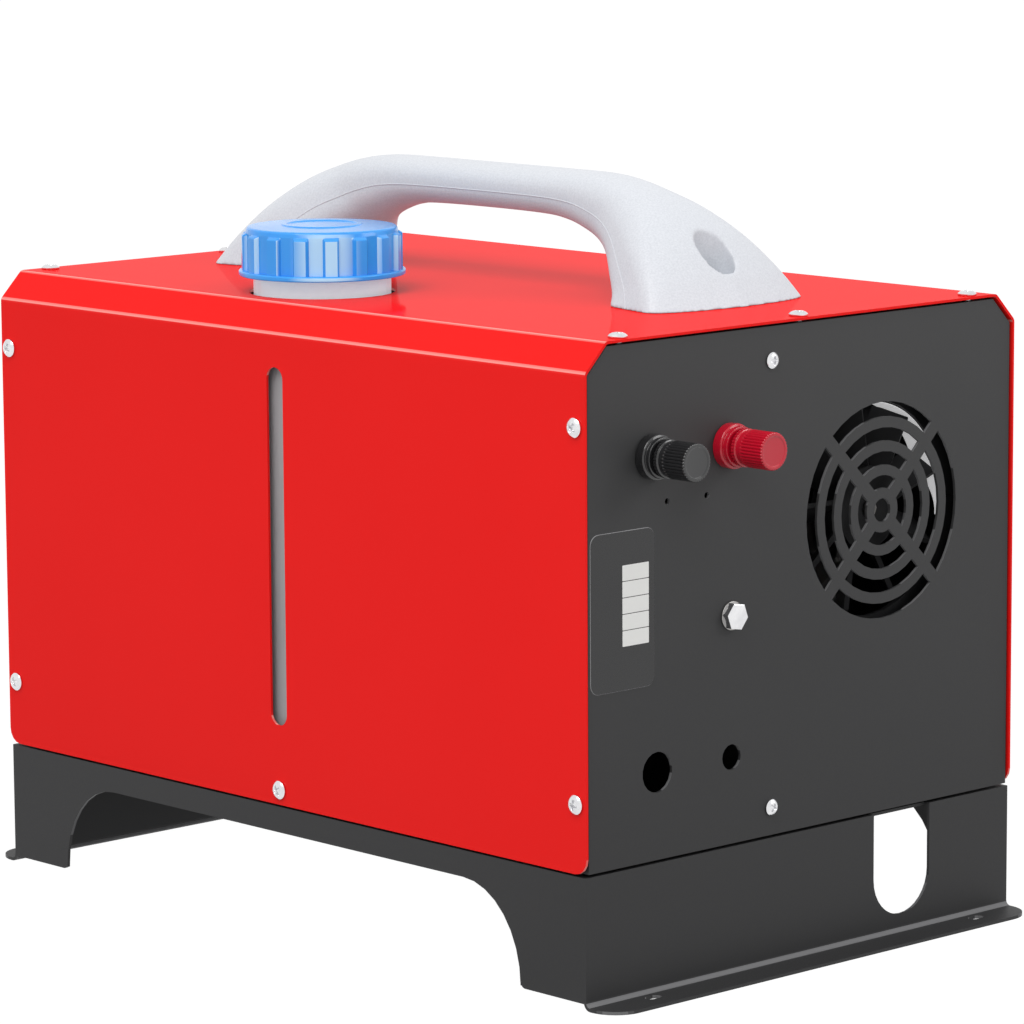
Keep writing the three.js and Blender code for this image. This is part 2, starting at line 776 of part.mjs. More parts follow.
partOf('fuel_tank', makeTank(), looks.milkyPlastic);

const neckPlace = new THREE.Group();
neckPlace.position.set(tankX, tankMiddleY, 0);
heater.add(neckPlace);

const gasketLow = neckTop + seat;
partOf('cap_gasket', tubeRing(neckRadius - neckWall, neckRadius, gasketLow, gasketLow + capGasketThickness,
  fineSteps), looks.rubber, neckPlace);

function makeCap() {
  const outer = turned([
    [0, capBottom], [capFlangeRadius, capBottom], [capFlangeRadius, capBottom + capRibLow - 0.8],
    [capBodyRadius, capBottom + capRibLow], [capBodyRadius, capBottom + capRibHigh],
    [capTopRadius, capTop], [0, capTop]], fineSteps);
  const ribs = new THREE.Shape();
  const quarterPitch = Math.PI / capRibs / 2;
  const phase = THREE.MathUtils.degToRad(capRibPhase);
  const corners = [];
  for (let rib = 0; rib < capRibs; rib += 1) {
    const middle = phase + rib * 4 * quarterPitch;
    for (const [radius, angle] of [
      [capBodyRadius - 1, middle - quarterPitch], [capRibRadius, middle - quarterPitch * 0.9],
      [capRibRadius, middle + quarterPitch * 0.9], [capBodyRadius - 1, middle + quarterPitch]]) {
      corners.push(new THREE.Vector2(radius * Math.cos(angle), radius * Math.sin(angle)));
    }
  }
  ribs.setFromPoints(corners);
  const ribbed = pushed(ribs, 'z', capBottom + capRibLow - 0.9, capBottom + capRibHigh);
  const hollow = rod(neckRadius + capThreadGap, capBottom - cut, capTop - capTopWall, fineSteps);
  return without(joined(outer, ribbed), hollow);
}

partOf('fuel_cap', makeCap(), looks.bluePlastic, neckPlace);

// ---------------------------------------------------------------- handle

const gripUnder = handleTop - handleGripHeight;
const gripHalf = handleGripWidth / 2;

// The handle is a bent band. Each row gives, from the middle of the grip to a foot, the top and the
// underside of its side view as distances from the middle and heights, with the half width there,
// the squareness of the section and how far the outer face bows back at its edges.
const handleRows = [
  [0, handleTop, 0, gripUnder, gripHalf, 2.5, 0],
  [48, handleTop, 41, gripUnder - 0.5, gripHalf, 2.5, 0],
  [75, handleTop - 0.3, 58, gripUnder - 2.4, gripHalf + 0.5, 2.5, 0],
  [91, handleTop - 2.2, 71, gripUnder - 5.8, gripHalf + 2, 2.6, 0],
  [107, handleTop - 6.3, 83, gripUnder - 10.5, gripHalf + 4.5, 2.7, 1],
  [124, handleTop - 13.2, 95, gripUnder - 16.6, gripHalf + 11.5, 3, 3],
  [142, handleTop - 25.6, 106, gripUnder - 24.5, gripHalf + 20.5, 4, 6],
  [158, handleTop - 42.2, 115, gripUnder - 31, gripHalf + 28.5, 6, 8],
  [handleHalfLength, coverTop, handleHalfLength - handleFootDepth, coverTop, handleFootWidth / 2, 8, 9],
];

function handleStation(share) {
  const place = Math.abs(share) * (handleRows.length - 1);
  const before = Math.min(Math.floor(place), handleRows.length - 2);
  const step = place - before;
  const row = (k) => handleRows[Math.min(Math.abs(k), handleRows.length - 1)];
  return handleRows[0].map((value, j) => {
    const mirrored = (j === 0 || j === 2) && before === 0 ? -1 : 1;
    const a = mirrored * row(before - 1)[j];
    const [b, c, d] = [0, 1, 2].map((k) => row(before + k)[j]);
    return b + step * (c - a + step * (2 * a - 5 * b + 4 * c - d + step * (3 * (b - c) + d - a))) / 2;
  });
}

function handleBlank() {
  const stations = 32;
  const around = 20;
  const positions = [];
  const base = coverTop + seat;
  for (let i = 0; i <= stations; i += 1) {
    const share = 2 * i / stations - 1;
    const [outerY, outerZ, innerY, innerZ, halfWidth, squareness, bow] = handleStation(share);
    for (let k = 0; k < around; k += 1) {
      const angle = 2 * Math.PI * k / around;
      const across = Math.sign(Math.cos(angle)) * Math.abs(Math.cos(angle)) ** (2 / squareness);
      const out = Math.sign(Math.sin(angle)) * Math.abs(Math.sin(angle)) ** (2 / squareness);
      const outward = (1 + out) / 2;
      const taper = 1 - handleInnerTaper * (1 - outward) * Math.abs(share) ** 2;
      const y = innerY + (outerY - innerY) * outward - bow * outward * across ** 2;
      positions.push(
        handleX + across * halfWidth * taper,
        handleY + Math.sign(share) * y,
        Math.max(base, innerZ + (outerZ - innerZ) * outward));
    }
  }
  const index = [];
  for (let i = 0; i < stations; i += 1) {
    for (let k = 0; k < around; k += 1) {
      const next = (k + 1) % around;
      const [a, b, c, d] = [i * around + k, i * around + next, (i + 1) * around + next, (i + 1) * around + k];
      index.push(a, c, b, a, d, c);
    }
  }
  for (let k = 1; k < around - 1; k += 1) {
    index.push(0, k, k + 1);
    const last = stations * around;
    index.push(last, last + k + 1, last + k);
  }
  const geometry = new THREE.BufferGeometry();
  geometry.setAttribute('position', new THREE.BufferAttribute(new Float32Array(positions), 3));
  geometry.setIndex(index);
  return solid(geometry);
}

function makeHandle() {
  const tools = [];
  for (const end of [-1, 1]) {
    const y = handleY + end * handleScrewY;
    tools.push(rod(handleScrewBore, coverTop - cut, handleTop, smallSteps).translate([handleX, y, 0]));
    tools.push(rod(handleRecess, handleRecessFloor, handleTop, 20).translate([handleX, y, 0]));
  }
  return without(handleBlank(), ...tools);
}

partOf('handle', makeHandle(), looks.greyPlastic);

for (const [end, endName] of [[1, 'rear'], [-1, 'front']]) {
  const place = new THREE.Group();
  place.position.set(handleX, handleY + end * handleScrewY, handleRecessFloor + seat);
  place.rotation.x = Math.PI / 2;
  heater.add(place);
  const length = handleRecessFloor - coverTop + screwLength;
  partOf(`handle_screw_${endName}`, panScrew(length), looks.nickel, place);
}

// ---------------------------------------------------------------- terminals

// Each terminal stands on the panel with its axis along +Y from y = 0 at the panel's face.
function makePostBase() {
  const bore = postStudRadius + seat;
  const front = seat + postBaseLength;
  return turned([
    [bore, seat], [postBaseRadius, seat], [postBaseRadius, front - 1.6], [postBaseRadius - 0.5, front - 1],
    [postCapRadius, front - 1], [postCapRadius, front - 0.2], [postCapRadius - 0.8, front],
    [bore, front], [bore, seat]], roundSteps, 'y');
}

function makePostStud() {
  const nutFrom = -panelSheet - seat;
  const nut = turned([[0, nutFrom - 4], [postStudRadius * 2, nutFrom - 4], [postStudRadius * 2, nutFrom],
    [0, nutFrom]], 6, 'y');
  return joined(rod(postStudRadius, -postStudTail, postStudLength, smallSteps, 'y'), nut);
}

function makePostCap() {
  const low = 2 * seat + postBaseLength;
  const high = low + postCapLength;
  const outline = new THREE.Shape();
  const corners = [];
  for (let k = 0; k < 2 * postCapFlutes; k += 1) {
    const radius = postCapRadius - (k % 2) * postCapFluteDepth;
    const angle = Math.PI * k / postCapFlutes;
    corners.push(new THREE.Vector2(radius * Math.cos(angle), radius * Math.sin(angle)));
  }
  outline.setFromPoints(corners);
  const collar = rod(postCapRadius, low, low + 3, roundSteps, 'y');
  const fluted = pushed(outline, 'y', low + 2, high - 0.6);
  const face = rod(postCapRadius - postCapFluteDepth, high - 1.2, high, roundSteps, 'y');
  const bore = rod(postStudRadius + postSleeveWall + 2 * seat, low - cut, high - postCapEnd, 16, 'y');
  return without(joined(collar, fluted, face), bore);
}

function makePostSleeve() {
  const low = 2 * seat + postBaseLength;
  return tubeRing(postStudRadius + seat, postStudRadius + seat + postSleeveWall, low,
    low + postCapLength - postCapEnd - seat, smallSteps, 'y');
}

for (const [x, colour, plastic] of [
  [postBlackX, 'black', looks.glossBlack], [postRedX, 'red', looks.redPlastic]]) {
  const place = facing(x, panelFace, postZ);
  partOf(`post_base_${colour}`, makePostBase(), plastic, place);
  partOf(`post_stud_${colour}`, makePostStud(), looks.nickel, place);
  partOf(`post_sleeve_${colour}`, makePostSleeve(), looks.nickel, place);
  partOf(`post_cap_${colour}`, makePostCap(), plastic, place);
}

// ---------------------------------------------------------------- fuel pump, filter and lines

const pumpRearNipple = pumpX + pumpLength + nippleReach;
const filterHigh = filterLow + filterLength;

function makePump() {
  const body = pinAlong('x', pumpRadius, pumpX, pumpX + pumpLength, [0, pumpY, boltZ], roundSteps);
  const nipples = pinAlong('x', nippleRadius, pumpX - nippleReach / 2, pumpRearNipple, [0, pumpY, boltZ]);
  return joined(body, nipples);
}

// A rubber band round the pump with a neck that the hex bolt fastens to the rear panel.
function makePumpMount() {
  const grip = pumpRadius + seat;
  const low = boltX - mountWidth / 2;
  const high = boltX + mountWidth / 2;
  const band = pinAlong('x', grip + mountWall, low, high, [0, pumpY, boltZ], roundSteps);
  const neck = box([low, pumpY, boltZ - grip / 2], [high, panelBack - seat, boltZ + grip / 2]);
  const bore = pinAlong('x', grip, low - cut, high + cut, [0, pumpY, boltZ], roundSteps);
  const boltHole = pinAlong('y', boltShank + seat, panelBack - boltLength, panelBack + cut,
    [boltX, 0, boltZ]);
  return without(joined(band, neck), bore, boltHole);
}

partOf('fuel_pump', makePump(), looks.steel);
partOf('pump_mount', makePumpMount(), looks.rubber);

function makeFilter() {
  return turned([
    [0, filterLow - nippleReach], [nippleRadius, filterLow - nippleReach], [nippleRadius, filterLow],
    [filterRadius * 0.6, filterLow], [filterRadius, filterLow + 5], [filterRadius, filterHigh - 5],
    [filterRadius * 0.6, filterHigh], [nippleRadius, filterHigh], [nippleRadius, filterHigh + nippleReach],
    [0, filterHigh + nippleReach]], 16).translate([filterX, filterY, 0]);
}

partOf('fuel_filter', makeFilter(), looks.milkyPlastic);

const spigotEnd = tankRear + spigotReach + seat;
const filterIn = filterLow - nippleReach - seat;
const filterOut = filterHigh + nippleReach + seat;
part('fuel_line_tank', hose([
  [tankX, spigotEnd, spigotZ], [tankX, spigotEnd + 5, spigotZ],
  [filterX - 14, filterY - 12, spigotZ - 8], [filterX - 4, filterY - 3, filterIn - 12],
  [filterX, filterY, filterIn - 4], [filterX, filterY, filterIn]], hoseRadius), looks.fuelHose);
part('fuel_line_filter', hose([
  [filterX, filterY, filterOut], [filterX, filterY, filterOut + 4],
  [filterX + 3, filterY + 12, filterOut + 12], [pumpRearNipple + 14, pumpY - 2, boltZ + 2],
  [pumpRearNipple + 5, pumpY, boltZ], [pumpRearNipple + seat, pumpY, boltZ]], hoseRadius), looks.fuelHose);

// ---------------------------------------------------------------- pump bolt

function makeBolt() {
  const across = boltAcross / Math.sqrt(3);
  const head = new THREE.CylinderGeometry(across, across, boltHeadHeight, 6);
  head.rotateY(Math.PI / 6);
  head.translate(0, boltHeadHeight / 2, 0);
  return joined(solid(head), rod(boltShank, -boltLength + seat, cut, smallSteps, 'y'));
}

partOf('mount_bolt', makeBolt(), looks.nickel, facing(boltX, panelFace + seat, boltZ));

// ---------------------------------------------------------------- heater casing

// Everything in the heater is turned about one axis, so it is drawn round y and moved there.
const heaterPlace = new THREE.Group();
heaterPlace.position.set(heaterX, 0, heaterZ);
heater.add(heaterPlace);

function makeCasing() {
  const halfWidth = casingWidth / 2;
  const halfHeight = casingHeight / 2;
  const outside = pushed(roundedRectangle(0, 0, halfWidth, halfHeight, casingCorner), 'y',
    casingFront, casingRear, 3);
  const inside = pushed(roundedRectangle(0, 0, halfWidth - casingWall, halfHeight - casingWall,
    casingCorner - casingWall), 'y', casingFront + casingWall, casingRear - casingWall, 3);
  const neck = rod(outletNeck, casingFront - outletNeckReach, casingFront + cut, fineSteps, 'y');
  const neckBore = rod(outletNeck - casingWall, casingFront - outletNeckReach - cut,
    casingFront + 2 * casingWall, fineSteps, 'y');
  const inlet = rod(casingInlet, casingRear - 2 * casingWall, casingRear + cut, fineSteps, 'y');
  const footHole = box(
    [-footWidth / 2 - stubGap, footFront - stubGap, -halfHeight - cut],
    [footWidth / 2 + stubGap, exchangerRear + stubGap, -halfHeight + 2 * casingWall]);
  return without(joined(outside, neck), inside, neckBore, inlet, footHole);
}

const casing = makeCasing();
const farAway = coverLength;
const upperHalf = box([-farAway, -farAway, seat / 2], [farAway, farAway, farAway]);
const lowerHalf = box([-farAway, -farAway, -farAway], [farAway, farAway, -seat / 2]);
partOf('heater_upper_shell', casing.intersect(upperHalf), looks.blackPlastic, heaterPlace);
partOf('heater_lower_shell', casing.intersect(lowerHalf), looks.blackPlastic, heaterPlace);

// ---------------------------------------------------------------- heat exchanger and burner

const casingBottom = -casingHeight / 2;
const footBottom = casingBottom - seat;
const blowerFace = exchangerRear - blowerRecess;

function makeExchanger() {
  const body = rod(exchangerRadius, exchangerFront, exchangerRear, roundSteps, 'y');
  const fins = new THREE.Shape();
  const corners = [];
  for (let k = 0; k < exchangerFins; k += 1) {
    const middle = 2 * Math.PI * (k + 0.5) / exchangerFins;
    const root = finThickness / 2 / (exchangerRadius - cut);
    const tip = finThickness / 2 / exchangerFin;
    for (const [radius, angle] of [[exchangerRadius - cut, middle - root], [exchangerFin, middle - tip],
      [exchangerFin, middle + tip], [exchangerRadius - cut, middle + root]]) {
      corners.push(new THREE.Vector2(radius * Math.cos(angle), radius * Math.sin(angle)));
    }
  }
  fins.setFromPoints(corners);
  const finned = pushed(fins, 'y', exchangerFront, footFront - finThickness);
  const foot = box([-footWidth / 2, footFront, footBottom],
    [footWidth / 2, exchangerRear, -exchangerRadius + 2 * exchangerWall]);
  const stubEnd = stubLow - heaterZ;
  const exhaust = pinAlong('z', exhaustRadius, stubEnd, -exchangerRadius, [0, exhaustY, 0], 16);
  const intake = pinAlong('z', intakeRadius, stubEnd, -exchangerRadius, [0, intakeY, 0], 16);
  const inlet = pinAlong('z', fuelInletRadius, footBottom - gasketThickness - bracketSheet - nippleReach,
    -exchangerRadius, [0, fuelInletY, 0]);
  const cavity = rod(exchangerRadius - exchangerWall, exchangerFront + exchangerWall, blowerFace + cut,
    roundSteps, 'y');
  const recess = rod(blowerRecessRadius, blowerFace, exchangerRear + cut, roundSteps, 'y');
  const exhaustHole = pinAlong('z', exhaustBore, stubEnd - cut, exhaustBore - exchangerRadius + exchangerWall,
    [0, exhaustY, 0], 16);
  const intakeHole = pinAlong('z', intakeBore, stubEnd - cut, -exchangerRadius + 2 * exchangerWall,
    [0, intakeY, 0], 16);
  const plugHole = plugPlaced(rod(plugRadius + seat, burnerRadius + 1.5, exchangerFin + cut, 8));
  return without(joined(body, finned, foot, exhaust, intake, inlet),
    cavity, recess, exhaustHole, intakeHole, plugHole);
}

// The glow plug stands out of the burner's side, leaning to one side of upright.
function plugPlaced(body) {
  return body.rotate([0, plugAngle, 0]).translate([0, plugY, 0]);
}

partOf('heat_exchanger', makeExchanger(), looks.castAluminium, heaterPlace);

function makeBurner() {
  const flange = rod(blowerRecessRadius - seat, blowerFace + seat, blowerFace + seat + burnerFlange,
    roundSteps, 'y');
  const tube = rod(burnerRadius, blowerFace - burnerLength, blowerFace + cut, roundSteps, 'y');
  const bore = rod(burnerRadius - burnerWall, blowerFace - burnerLength - cut, blowerFace, roundSteps, 'y');
  const airHole = rod(burnerAirHole, blowerFace - cut, blowerFace + 2 * burnerFlange, 16, 'y');
  return without(joined(flange, tube), bore, airHole);
}

partOf('burner_tube', makeBurner(), looks.steel, heaterPlace);

partOf('glow_plug', plugPlaced(turned([
  [0, burnerRadius + seat], [plugRadius - 1, burnerRadius + seat], [plugRadius - 1, exchangerRadius - 3],
  [plugRadius, exchangerRadius - 3], [plugRadius, exchangerRadius + 4], [plugRadius - 2, exchangerRadius + 5],
  [plugRadius - 2, exchangerRadius + 12], [0, exchangerRadius + 12]], 8)), looks.nickel, heaterPlace);

// ---------------------------------------------------------------- blower

const motorFrom = exchangerRear + seat;
const motorBody = motorFrom + motorFlange;
const motorEnd = motorBody + motorLength;
const impellerFrom = blowerFace + seat + burnerFlange + impellerGap;
const fanFrom = motorEnd + fanGap;

partOf('blower_motor', without(
  joined(rod(motorFlangeRadius, motorFrom, motorBody, roundSteps, 'y'),
    rod(motorRadius, motorBody - cut, motorEnd, roundSteps, 'y')),
  rod(shaftRadius + seat, motorFrom - cut, motorEnd + cut, smallSteps, 'y')), looks.steel, heaterPlace);

partOf('motor_shaft', rod(shaftRadius, impellerFrom, fanFrom + fanLength + shaftTail, smallSteps, 'y'),
  looks.steel, heaterPlace);

// Blades round a bored hub, each leaning by a twist between its two ends.
function bladedWheel(hub, outer, blades, thickness, low, high, lean) {
  const sections = [];
  for (let k = 0; k < blades; k += 1) {
    const blade = new THREE.BoxGeometry(outer - hub + cut, high - low, thickness);
    blade.translate((outer + hub - cut) / 2, 0, 0);
    blade.rotateX(lean);
    blade.rotateY(2 * Math.PI * k / blades);
    blade.translate(0, (low + high) / 2, 0);
    sections.push(solid(blade));
  }
  const wheel = joined(rod(hub, low, high, roundSteps, 'y'), ...sections);
  const keep = rod(outer, low, high, fineSteps, 'y');
  return without(wheel.intersect(keep), rod(shaftRadius + seat, low - cut, high + cut, smallSteps, 'y'));
}

partOf('hot_air_fan', bladedWheel(fanHub, fanRadius, fanBlades, fanBladeThickness, fanFrom,
  fanFrom + fanLength, 0.6), looks.blackPlastic, heaterPlace);
const impellerTo = impellerFrom + impellerLength;
const impellerBack = rod(impellerRadius, impellerTo - impellerDisc, impellerTo, roundSteps, 'y')
  .subtract(rod(shaftRadius + seat, impellerFrom, motorFrom, smallSteps, 'y'));
partOf('combustion_impeller', bladedWheel(2.5 * shaftRadius, impellerRadius, 8, 1.6, impellerFrom,
  impellerTo - impellerDisc / 2, 0).add(impellerBack), looks.castAluminium, heaterPlace);

partOf('control_board', box(
  [-controlWidth / 2, motorBody + seat, motorRadius + seat],
  [controlWidth / 2, motorBody + seat + controlLength, motorRadius + seat + controlHeight]),
looks.blackPlastic, heaterPlace);

// ---------------------------------------------------------------- gasket, bracket and fuel inlet

const gasketTop = footBottom - seat;
const bracketTop = gasketTop - gasketThickness - seat;

function stubHoles(low, high) {
  return [
    pinAlong('z', exhaustRadius + stubGap, low, high, [0, exhaustY, 0], 16),
    pinAlong('z', intakeRadius + stubGap, low, high, [0, intakeY, 0], 16),
    pinAlong('z', fuelInletRadius + stubGap, low, high, [0, fuelInletY, 0]),
  ];
}

partOf('heater_gasket', without(
  box([-footWidth / 2, footFront, gasketTop - gasketThickness], [footWidth / 2, exchangerRear, gasketTop]),
  ...stubHoles(gasketTop - gasketThickness - cut, gasketTop + cut)), looks.rubber, heaterPlace);

// A folded bridge that stands on the floor and carries the heater's foot.
function makeBracket() {
  const floor = standTop + seat - heaterZ;
  const half = bracketWidth / 2;
  const under = bracketTop - bracketSheet;
  const outline = polygon([
    [-half - bracketFoot, floor], [bracketSheet - half, floor], [bracketSheet - half, under],
    [half - bracketSheet, under], [half - bracketSheet, floor], [half + bracketFoot, floor],
    [half + bracketFoot, floor + bracketSheet], [half, floor + bracketSheet], [half, bracketTop],
    [-half, bracketTop], [-half, floor + bracketSheet], [-half - bracketFoot, floor + bracketSheet]]);
  const bridge = pushed(outline, 'y', footFront - bracketEnd, exchangerRear + bracketEnd);
  return without(bridge, ...stubHoles(bracketTop - 2 * bracketSheet, bracketTop + cut));
}

partOf('heater_bracket', makeBracket(), looks.steel, heaterPlace);

const inletEnd = heaterZ + footBottom - gasketThickness - bracketSheet - nippleReach - seat;
const casingSide = heaterX + casingWidth / 2;
const betweenX = (casingSide + partitionX) / 2;
part('fuel_line_heater', hose([
  [pumpX - nippleReach / 2 - seat, pumpY, boltZ], [partitionX, pumpY, boltZ],
  [betweenX + 1, pumpY - 2, boltZ - 4], [betweenX, pumpY - 5, boltZ - 20],
  [betweenX, pumpY - 5, inletEnd - 2], [betweenX - 6, pumpY - 5, inletEnd - 20],
  [heaterX + bracketWidth / 2 - 3, pumpY - 6, inletEnd - 26], [heaterX + 36, fuelInletY + 30, inletEnd - 26],
  [heaterX + 16, fuelInletY + 4, inletEnd - 24], [heaterX + 3, fuelInletY, inletEnd - 14],
  [heaterX, fuelInletY, inletEnd - 4],
  [heaterX, fuelInletY, inletEnd]], hoseRadius), looks.fuelHose);

// ---------------------------------------------------------------- hot-air outlet

// The outlet is drawn with its axis along +Y from y = 0 at the front panel's face.
const outletPlace = facing(heaterX, -panelFace, heaterZ, Math.PI);
const swivelEnd = swivelFront - panelFace;
const swivelFrom = collarFlange + 2 * seat;
const flangeTop = swivelFrom + swivelFlangeThickness;

function makeCollar() {
  const sleeve = outletNeck + seat;
  const groove = swivelOuter + swivelFlange + seat;
  return turned([
    [sleeve, -panelSheet - collarDepth], [swivelOuter - cut / 2, -panelSheet - collarDepth],
    [swivelOuter - cut / 2, seat], [collarRadius, seat], [collarRadius, collarFlange],
    [collarSocket, collarFlange + 1], [collarSocket, flangeTop + collarLip],
    [collarSocket - 1, flangeTop + collarLip + seat], [swivelOuter + seat, flangeTop + collarLip + seat],
    [swivelOuter + seat, flangeTop + seat], [groove, flangeTop + seat], [groove, collarFlange + seat],
    [sleeve, collarFlange + seat], [sleeve, -panelSheet - collarDepth]], fineSteps, 'y');
}

function makeSwivel() {
  const bore = swivelOuter - swivelWall;
  const ring = turned([
    [bore, swivelFrom], [swivelOuter + swivelFlange, swivelFrom], [swivelOuter + swivelFlange, flangeTop],
    [swivelOuter, flangeTop], [swivelOuter, swivelEnd - 1], [swivelOuter - 1, swivelEnd],
    [bore, swivelEnd], [bore, swivelFrom]], fineSteps, 'y');
  const tools = [-1, 0, 1].map((row) => (
    pinAlong('x', louvrePin + seat, -swivelOuter - cut, swivelOuter + cut,
      [0, louvreY, row * louvreSpacing])));
  return without(ring, ...tools);
}

const louvreY = (swivelFrom + swivelEnd) / 2 + 1.5;

partOf('outlet_collar', makeCollar(), looks.blackPlastic, outletPlace);
partOf('outlet_swivel', makeSwivel(), looks.blackPlastic, outletPlace);

// A flat blade with a pin at each end, as long as the ring leaves room for at full tilt.
function makeLouvre(row) {
  const bore = swivelOuter - swivelWall;
  const z = row * louvreSpacing;
  const tilt = THREE.MathUtils.degToRad(louvreSwing);
  const edge = Math.abs(z) + louvreDepth / 2 * Math.sin(tilt) + louvreThickness;
  const half = Math.sqrt(bore ** 2 - edge ** 2) - seat;
  const pinEnd = Math.sqrt(bore ** 2 - (Math.abs(z) + louvrePin) ** 2) + louvrePinReach;
  const blade = box([-half, louvreY - louvreDepth / 2, z - louvreThickness / 2],
    [half, louvreY + louvreDepth / 2, z + louvreThickness / 2]);
  return joined(blade, pinAlong('x', louvrePin, -pinEnd, pinEnd, [0, louvreY, z], 8));
}

for (const [row, name] of [[1, 'upper'], [0, 'middle'], [-1, 'lower']]) {
  partOf(`louvre_${name}`, makeLouvre(row), looks.blackPlastic, outletPlace);
}

// ---------------------------------------------------------------- controller

// The controller is drawn like the outlet, with y = 0 at the front panel's face.
const controllerPlace = facing(controllerX, -panelFace, controllerZ, Math.PI);
const wallInside = controllerDepth - controllerWall;

function makeHousing() {
  const outside = pushed(roundedRectangle(0, 0, controllerWidth / 2, controllerHeight / 2, controllerCorner),
    'y', seat, controllerDepth, 2);
  const inside = pushed(roundedRectangle(0, 0, controllerWidth / 2 - controllerWall,
    controllerHeight / 2 - controllerWall, controllerCorner - controllerWall), 'y', -cut, wallInside, 2);
  const rebate = box(
    [-windowWidth / 2 - seat, controllerDepth - windowRebate - seat, -windowHeight / 2 - seat],
    [windowWidth / 2 + seat, controllerDepth + cut, windowHeight / 2 + seat]);
  const opening = box([windowLip - windowWidth / 2, wallInside - cut, windowLip - windowHeight / 2],
    [windowWidth / 2 - windowLip, controllerDepth + cut, windowHeight / 2 - windowLip]);
  const holes = [];
  for (const side of [-1, 1]) {
    for (const level of [-1, 1]) {
      holes.push(pinAlong('y', buttonRadius + seat, wallInside - cut, controllerDepth + cut,
        [side * buttonX, 0, level * buttonZ], 14));
    }
  }
  return without(outside, inside, rebate, opening, ...holes);
}

partOf('controller_housing', makeHousing(), looks.glossBlack, controllerPlace);
partOf('controller_window', box(
  [-windowWidth / 2, controllerDepth - windowRebate, -windowHeight / 2],
  [windowWidth / 2, controllerDepth, windowHeight / 2]), looks.screenGlass, controllerPlace);

const flangeInner = wallInside - seat;
const boardTop = flangeInner - buttonFlangeThickness - boardGap;
const boardInset = controllerWall + seat;
const boardOutline = roundedRectangle(0, 0, controllerWidth / 2 - boardInset,
  controllerHeight / 2 - boardInset, controllerCorner - boardInset);
partOf('controller_board', pushed(boardOutline, 'y', boardTop - boardThickness, boardTop, 2),
  looks.greenBoard, controllerPlace);

function makeButton() {
  const top = controllerDepth + buttonReach;
  const low = flangeInner - buttonFlangeThickness;
  return turned([
    [0, low], [buttonRadius + buttonFlange, low], [buttonRadius + buttonFlange, flangeInner],
    [buttonRadius, flangeInner], [buttonRadius, top - buttonEase],
    [buttonRadius - buttonEase, top], [0, top]], 14, 'y');
}

for (const [side, sideName] of [[-1, 'right'], [1, 'left']]) {
  for (const [level, levelName] of [[1, 'upper'], [-1, 'lower']]) {
    partOf(`button_${sideName}_${levelName}`,
      makeButton().translate([side * buttonX, 0, level * buttonZ]), looks.blackPlastic, controllerPlace);
  }
}

export default heater;
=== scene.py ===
import json
import math
import bmesh
import bpy
import numpy as np
from mathutils import Matrix, Vector


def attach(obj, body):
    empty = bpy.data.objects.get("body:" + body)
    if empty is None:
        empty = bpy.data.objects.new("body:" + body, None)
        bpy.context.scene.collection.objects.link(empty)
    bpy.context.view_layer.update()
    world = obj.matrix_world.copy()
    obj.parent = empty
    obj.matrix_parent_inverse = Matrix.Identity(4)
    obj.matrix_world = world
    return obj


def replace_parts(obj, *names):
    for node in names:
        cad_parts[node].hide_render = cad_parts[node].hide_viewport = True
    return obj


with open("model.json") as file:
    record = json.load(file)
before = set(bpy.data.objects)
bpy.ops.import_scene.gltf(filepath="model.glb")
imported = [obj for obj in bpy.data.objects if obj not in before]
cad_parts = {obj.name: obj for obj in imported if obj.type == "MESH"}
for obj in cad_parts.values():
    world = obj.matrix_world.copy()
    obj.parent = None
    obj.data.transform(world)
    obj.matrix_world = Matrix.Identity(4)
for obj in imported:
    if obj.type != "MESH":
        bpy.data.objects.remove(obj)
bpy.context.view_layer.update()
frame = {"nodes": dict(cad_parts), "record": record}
scene = bpy.context.scene
mm = 0.001

# camera, lights and floor

camera = {
    "place": (1.632026, 1.765525, 0.565789),   # metres
    "azimuth": 137.077,                        # degrees, 0 looks along +Y
    "elevation": 8.964,
    "roll": -0.358,
    "lens": 174.697,                           # mm on a 36 mm sensor
}


def makeCamera(c):
    az, el, roll = (math.radians(c[k]) for k in ("azimuth", "elevation", "roll"))
    forward = Vector((-math.sin(az) * math.cos(el), math.cos(az) * math.cos(el), -math.sin(el)))
    right = forward.cross(Vector((0, 0, 1))).normalized()
    up = right.cross(forward)
    rolledRight = math.cos(roll) * right + math.sin(roll) * up
    rolledUp = math.cos(roll) * up - math.sin(roll) * right
    data = bpy.data.cameras.new("camera")
    data.lens = c["lens"]
    data.sensor_width = 36
    data.clip_end = 100
    obj = bpy.data.objects.new("camera", data)
    axes = Matrix((rolledRight, rolledUp, -forward)).transposed().to_4x4()
    obj.matrix_world = Matrix.Translation(Vector(c["place"])) @ axes
    scene.collection.objects.link(obj)
    scene.camera = obj


lamps = {   # place, the point it faces, width and height in metres, and watts
    "key": ((1.2, 0.4, 1.9), (0, 0, 0.2), (1.2, 1.2), 22),
    "fill": ((-1.1, 1.5, 1.15), (-0.05, 0.2, 0.22), (0.8, 0.8), 8),
}


def makeLamp(name, place, target, size, power):
    data = bpy.data.lights.new(name, "AREA")
    data.shape = "RECTANGLE"
    data.size, data.size_y = size
    data.energy = power
    obj = bpy.data.objects.new(name, data)
    obj.location = place
    obj.rotation_euler = (Vector(target) - Vector(place)).to_track_quat("-Z", "Y").to_euler()
    scene.collection.objects.link(obj)


